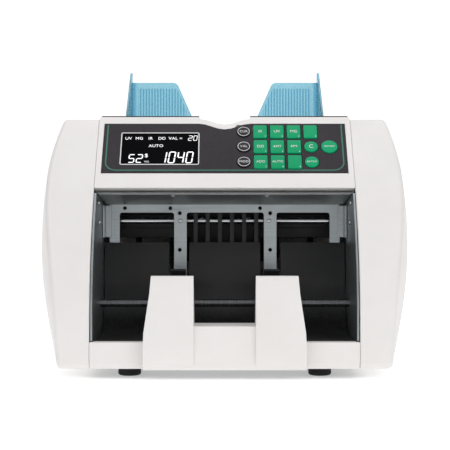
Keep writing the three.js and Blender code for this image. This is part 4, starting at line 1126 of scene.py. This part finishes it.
feed_tread = spun(roller_steps(0, 34, 10.5, 5), on_shaft("feed"), bore=3.2)
piece(feed_tread, "feed_tread", soft_rubber, "feed_spindle", 30, ("feed_roller",))
for word, x in (("left", -26), ("right", 26)):
    tread = spun(roller_steps(x, 14, 12.5, 3), on_shaft("pickup"), bore=3.2)
    stands_for = (f"{word}_pickup_roller",)
    piece(tread, f"{word}_pickup_tread", soft_rubber, "pickup_spindle", 30, stands_for)
print("rollers turned")

# %% Feet, gap screw and motor
FEET = {"front_left": (-70, 26), "front_right": (70, 26), "rear_left": (-70, 206), "rear_right": (70, 206)}
foot_steps = [(0.0, 3.6), (0.5, 4.2), (0.5, 6.2), (0.0, 6.6), (0.25, 7.4), (0.9, 8.2), (1.8, 8.5)]
foot_steps += [(4.2, 8.3), (6.0, 8.0), (6.6, 7.6), (6.6, 3.0), (10.3, 3.0), (10.5, 2.6)]
for word, (x, y) in FEET.items():
    foot = spun(foot_steps, (x, y, 0), "Z")
    piece(foot, f"rubber_foot_{word}", soft_rubber, "machine", 30, (f"foot_{word}",))
screw_steps = [(-9, 1.6), (-8.6, 2.0), (0.4, 2.0), (0.4, 5.6), (0.8, 6.0)]
screw_steps += [(6.6, 6.0), (7.5, 5.4), (8.0, 4.4), (8.0, 0.01)]
knob = spun(screw_steps, (0, 102, 176), "Z", 48)
for vert in knob.verts:
    spoke = Vector((vert.co.x, vert.co.y - at(0, 102, 0).y, 0))
    if spoke.length > 0.0055:
        turn = math.atan2(spoke.y, spoke.x)
        spoke *= 1 - 0.045 * (0.5 + 0.5 * math.cos(16 * turn))
        vert.co.x, vert.co.y = spoke.x, spoke.y + at(0, 102, 0).y
piece(knob, "gap_knob", inner_black, "adjusting_screw", 30, ("gap_screw",))
can_steps = [(-94.6, 18.4), (-94.1, 19.0), (-88, 19.0), (-87.8, 18.6), (-87.2, 18.6), (-87.0, 19.0)]
can_steps += [(-52, 19.0), (-51.8, 18.6), (-51.2, 18.6), (-51.0, 19.0), (-46, 19.0), (-44.6, 18.4)]
can_steps += [(-44, 17), (-44, 8.0), (-41, 8.0), (-40, 7.2)]
motor = spun(can_steps, on_shaft("motor"), bore=2.75)
piece(motor, "motor_can", plated_can, "machine", 30, ("main_motor",))
print("feet, knob and motor turned")

# %% [markdown]
# ## Bent sheet, moulded and cut parts
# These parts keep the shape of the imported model, and get the small rounded edges that a bend, a
# mould or a punch leaves. A bent sheet has tight edges. A moulding's are softer, and a thick rubber
# part's softer still. The side plates and window frame are plated sheet, and the chute, the note guide
# and the gap bracket are black mouldings.

# %% Rounded edges on what is left
SHEET_PARTS = {
    "right_side_plate": plated_sheet, "left_side_plate": plated_sheet, "window_frame": plated_sheet,
    "throat_ceiling": dark_sheet, "base_tray": dark_sheet, "power_supply": plated_can,
}
MOULDED_PARTS = {
    "chute": inner_black, "note_guide": inner_black, "gap_bracket": inner_black, "sensor_bar": inner_black,
    "hopper_bed": rear_grey, "rear_housing": rear_grey, "rear_door": rear_grey,
    "mains_inlet": inner_black, "power_rocker": inner_black,
    "panel_board": board_mask, "main_board": board_mask,
}
RUBBER_PARTS = {
    "left_stacker_wheel": wheel_rubber, "right_stacker_wheel": wheel_rubber,
    "main_belt": soft_rubber, "stacker_belt": soft_rubber,
}
for name, material in SHEET_PARTS.items():
    softened(name, material, 0.2)
for name, material in MOULDED_PARTS.items():
    softened(name, material, 0.35)
for name, material in RUBBER_PARTS.items():
    softened(name, material, 0.25, smooth=40)
print(len(SHEET_PARTS) + len(MOULDED_PARTS) + len(RUBBER_PARTS), "parts with rounded edges")

# %% [markdown]
# ## A dark tab under the lid's front rail
# A thin wedge of the ceiling's dark sheet runs across the pocket under the lid's front rail. It is
# painted shade: it stands for the shade on the rail's underside, so the rail looks dark from below.

# %% The tab, a thin dark wedge of painted shade across the pocket
# Painted shade: the dark wedge stands for the shade under the lid's front rail.
tab = [(39.4, 134.3), (51.2, 134.3), (51.2, 133.5), (39.6, 133.8)]
rail_shade_tab = slab(tab, -95.1, 95.1, lambda y, z, x: at(x, y, z))
piece(rail_shade_tab, "rail_shade_tab", dark_sheet, "machine")
print("ceiling tab with", len(tab), "corners")

# %% [markdown]
# ## Screws
# The sheet parts are held by small pan head screws with a cross in them. Each head is turned, and the
# cross is cut out of it. They sit in the ceiling of the pocket, on the posts of the window, on the side
# plates and round the rear housing.

# %% Pan head screws
CROSS_ARM, CROSS_TURN, CROSS_FLOOR = (1.3, 0.24), 0.4, 0.45
HEAD_PROFILE = ((-0.3, 0.6), (-0.05, 0.96), (0.25, 1.0), (0.75, 0.86), (1.05, 0.55))


def pan_screw(name, centre, axis, way, radius, finish=screw_steel):
    """A pan head with a cross recess, which stands on a face at centre and points up or down the axis."""
    steps = [(way * a, radius * share) for a, share in HEAD_PROFILE] + [(way * 1.12, 0.01)]
    head = piece(spun(steps, centre, axis, 28), name, finish, "machine", 35)

    def on_head(u, v, w):
        offset = {"X": (w, u, v), "Y": (u, w, v), "Z": (u, v, w)}[axis]
        return at(*(c + o for c, o in zip(centre, offset)))

    length, width = (half * radius / 2.2 for half in CROSS_ARM)
    arms = []
    for quarter in (0, math.pi / 2):
        c, s = math.cos(CROSS_TURN + quarter), math.sin(CROSS_TURN + quarter)
        ends = ((-length, -width), (length, -width), (length, width), (-length, width))
        corners = [(u * c - v * s, u * s + v * c) for u, v in ends]
        arms.append(as_mesh(slab(corners, way * CROSS_FLOOR, way * 2, on_head)))
    carve(head, arms)


SCREWS = [("ceiling", (x, 52.5, 132.5), "Z", -1, 2.2) for x in (-39.0, 32.0)]
SCREWS += [("post", (x, 98, 113), "Y", -1, 1.7) for x in (-35, 35)]
SCREWS += [("housing", (x, 232, z), "Y", 1, 2.6, black_oxide) for x in (-86, 86) for z in (18, 178)]
SCREWS += [
    ("plate", (side * 95.5, y, z), "X", -side, 1.9) for side in (-1, 1) for y, z in ((54, 127), (60, 112))
]
for count, (word, *place) in enumerate(SCREWS):
    pan_screw(f"{word}_screw_{count}", *place)
print(len(SCREWS), "screws")

# %% [markdown]
# ## Rear details
# A black foam sheet behind the slots of the rear door keeps dust out, and swings with the door. It
# also keeps daylight from shining through the machine, and a frame inside the doorway closes the gap
# round the door. The rocker carries a bar and a ring, the usual marks for on and off. Four low ribs on
# the door give fingers a hold, and three blades stand in the mains inlet.

# %% Dust filter, rocker marks and pull ribs
filter_outline = rounded(0, 113, 92, 68, 3)
upright = lambda a, b, c: at(a, c, b)
foam = round_slab(filter_outline, 226.2, 229.3, upright, 0.6)
piece(foam, "dust_filter", soft_rubber, "service_door", 40)
filter_rim = band(rounded(0, 113, 94, 70, 3), 2.4, 225.4, 229.5, upright, closed=True)
piece(filter_rim, "filter_rim", inner_black, "service_door")
ROCKER_X, ROCKER_FACE, ROCKER_Z = 36, 231.62, 36


def on_rocker(lean, way):
    """Places on one half of the rocker: its face leans back by a share of the distance from the middle."""
    return lambda a, b, c: at(ROCKER_X + a, ROCKER_FACE + lean * b + c, ROCKER_Z + way * b)


bar_mark = slab(rounded(0, 4.6, 0.9, 4.6, 0.3, 2), 0, 0.12, on_rocker(1 / 8.6, 1))
ring_mark = band(rounded(0, 4.4, 3.8, 3.8, 1.85, 6), 0.7, 0, 0.12, on_rocker(3 / 8.6, -1), closed=True)
piece(bar_mark, "on_mark", print_white, "mains_rocker")
piece(ring_mark, "off_mark", print_white, "mains_rocker")
for i in range(4):
    rib = round_slab(rounded(0, 152.4 + 2.6 * i, 32, 1.2, 0.55, 3), 231.7, 232.9, upright, 0.3)
    piece(rib, f"pull_rib_{i}", rear_grey, "service_door", 40)
door_stop = band(rounded(0, 114, 152, 104, 2), 5.0, 227.2, 229.3, upright, closed=True)
piece(door_stop, "door_stop", inner_black, "machine")
blades = [round_slab(rounded(64 + dx, 36, 2.3, 4.3, 0.4, 2), 214.5, 228.4, upright, 0.2) for dx in (-7, 0, 7)]
piece(merged(blades), "inlet_blades", screw_steel, "machine")
print("rear details")

# %% [markdown]
# ## The main board's parts
# The main board carries chips, round capacitors and a row of cable headers. They are seen through the
# rear doorway, when the service door is open. Each kind is one merged piece.

# %% Chips, capacitors and headers
BOARD_TOP = 16.0
CHIPS = ((-20, 164, 12, 12), (14, 142, 14, 9), (26, 160, 9, 14))
chips = [round_slab(rounded(x, y, w, d, 0.4, 2), BOARD_TOP, BOARD_TOP + 2, at, 0.25) for x, y, w, d in CHIPS]
piece(merged(chips), "board_chips", inner_black, "machine")
can_profile = [(0, 3.7), (0.4, 4.0), (1.2, 3.7), (1.8, 4.0), (9.6, 4.0), (10.2, 3.6), (10.2, 3.0),
               (10.0, 0.01)]
CANS = ((-80, 134), (-80, 146), (-80, 158), (28, 134))
cans = [spun(can_profile, (x, y, BOARD_TOP), "Z", 28) for x, y in CANS]
piece(merged(cans), "board_capacitors", dark_sheet, "machine", 30)
headers = [
    round_slab(rounded(x, 195, 12, 5, 0.5, 2), BOARD_TOP, BOARD_TOP + 6.5, at, 0.3) for x in (-74, -56, -38, -20)
]
piece(merged(headers), "board_headers", print_white, "machine")
print("board parts")
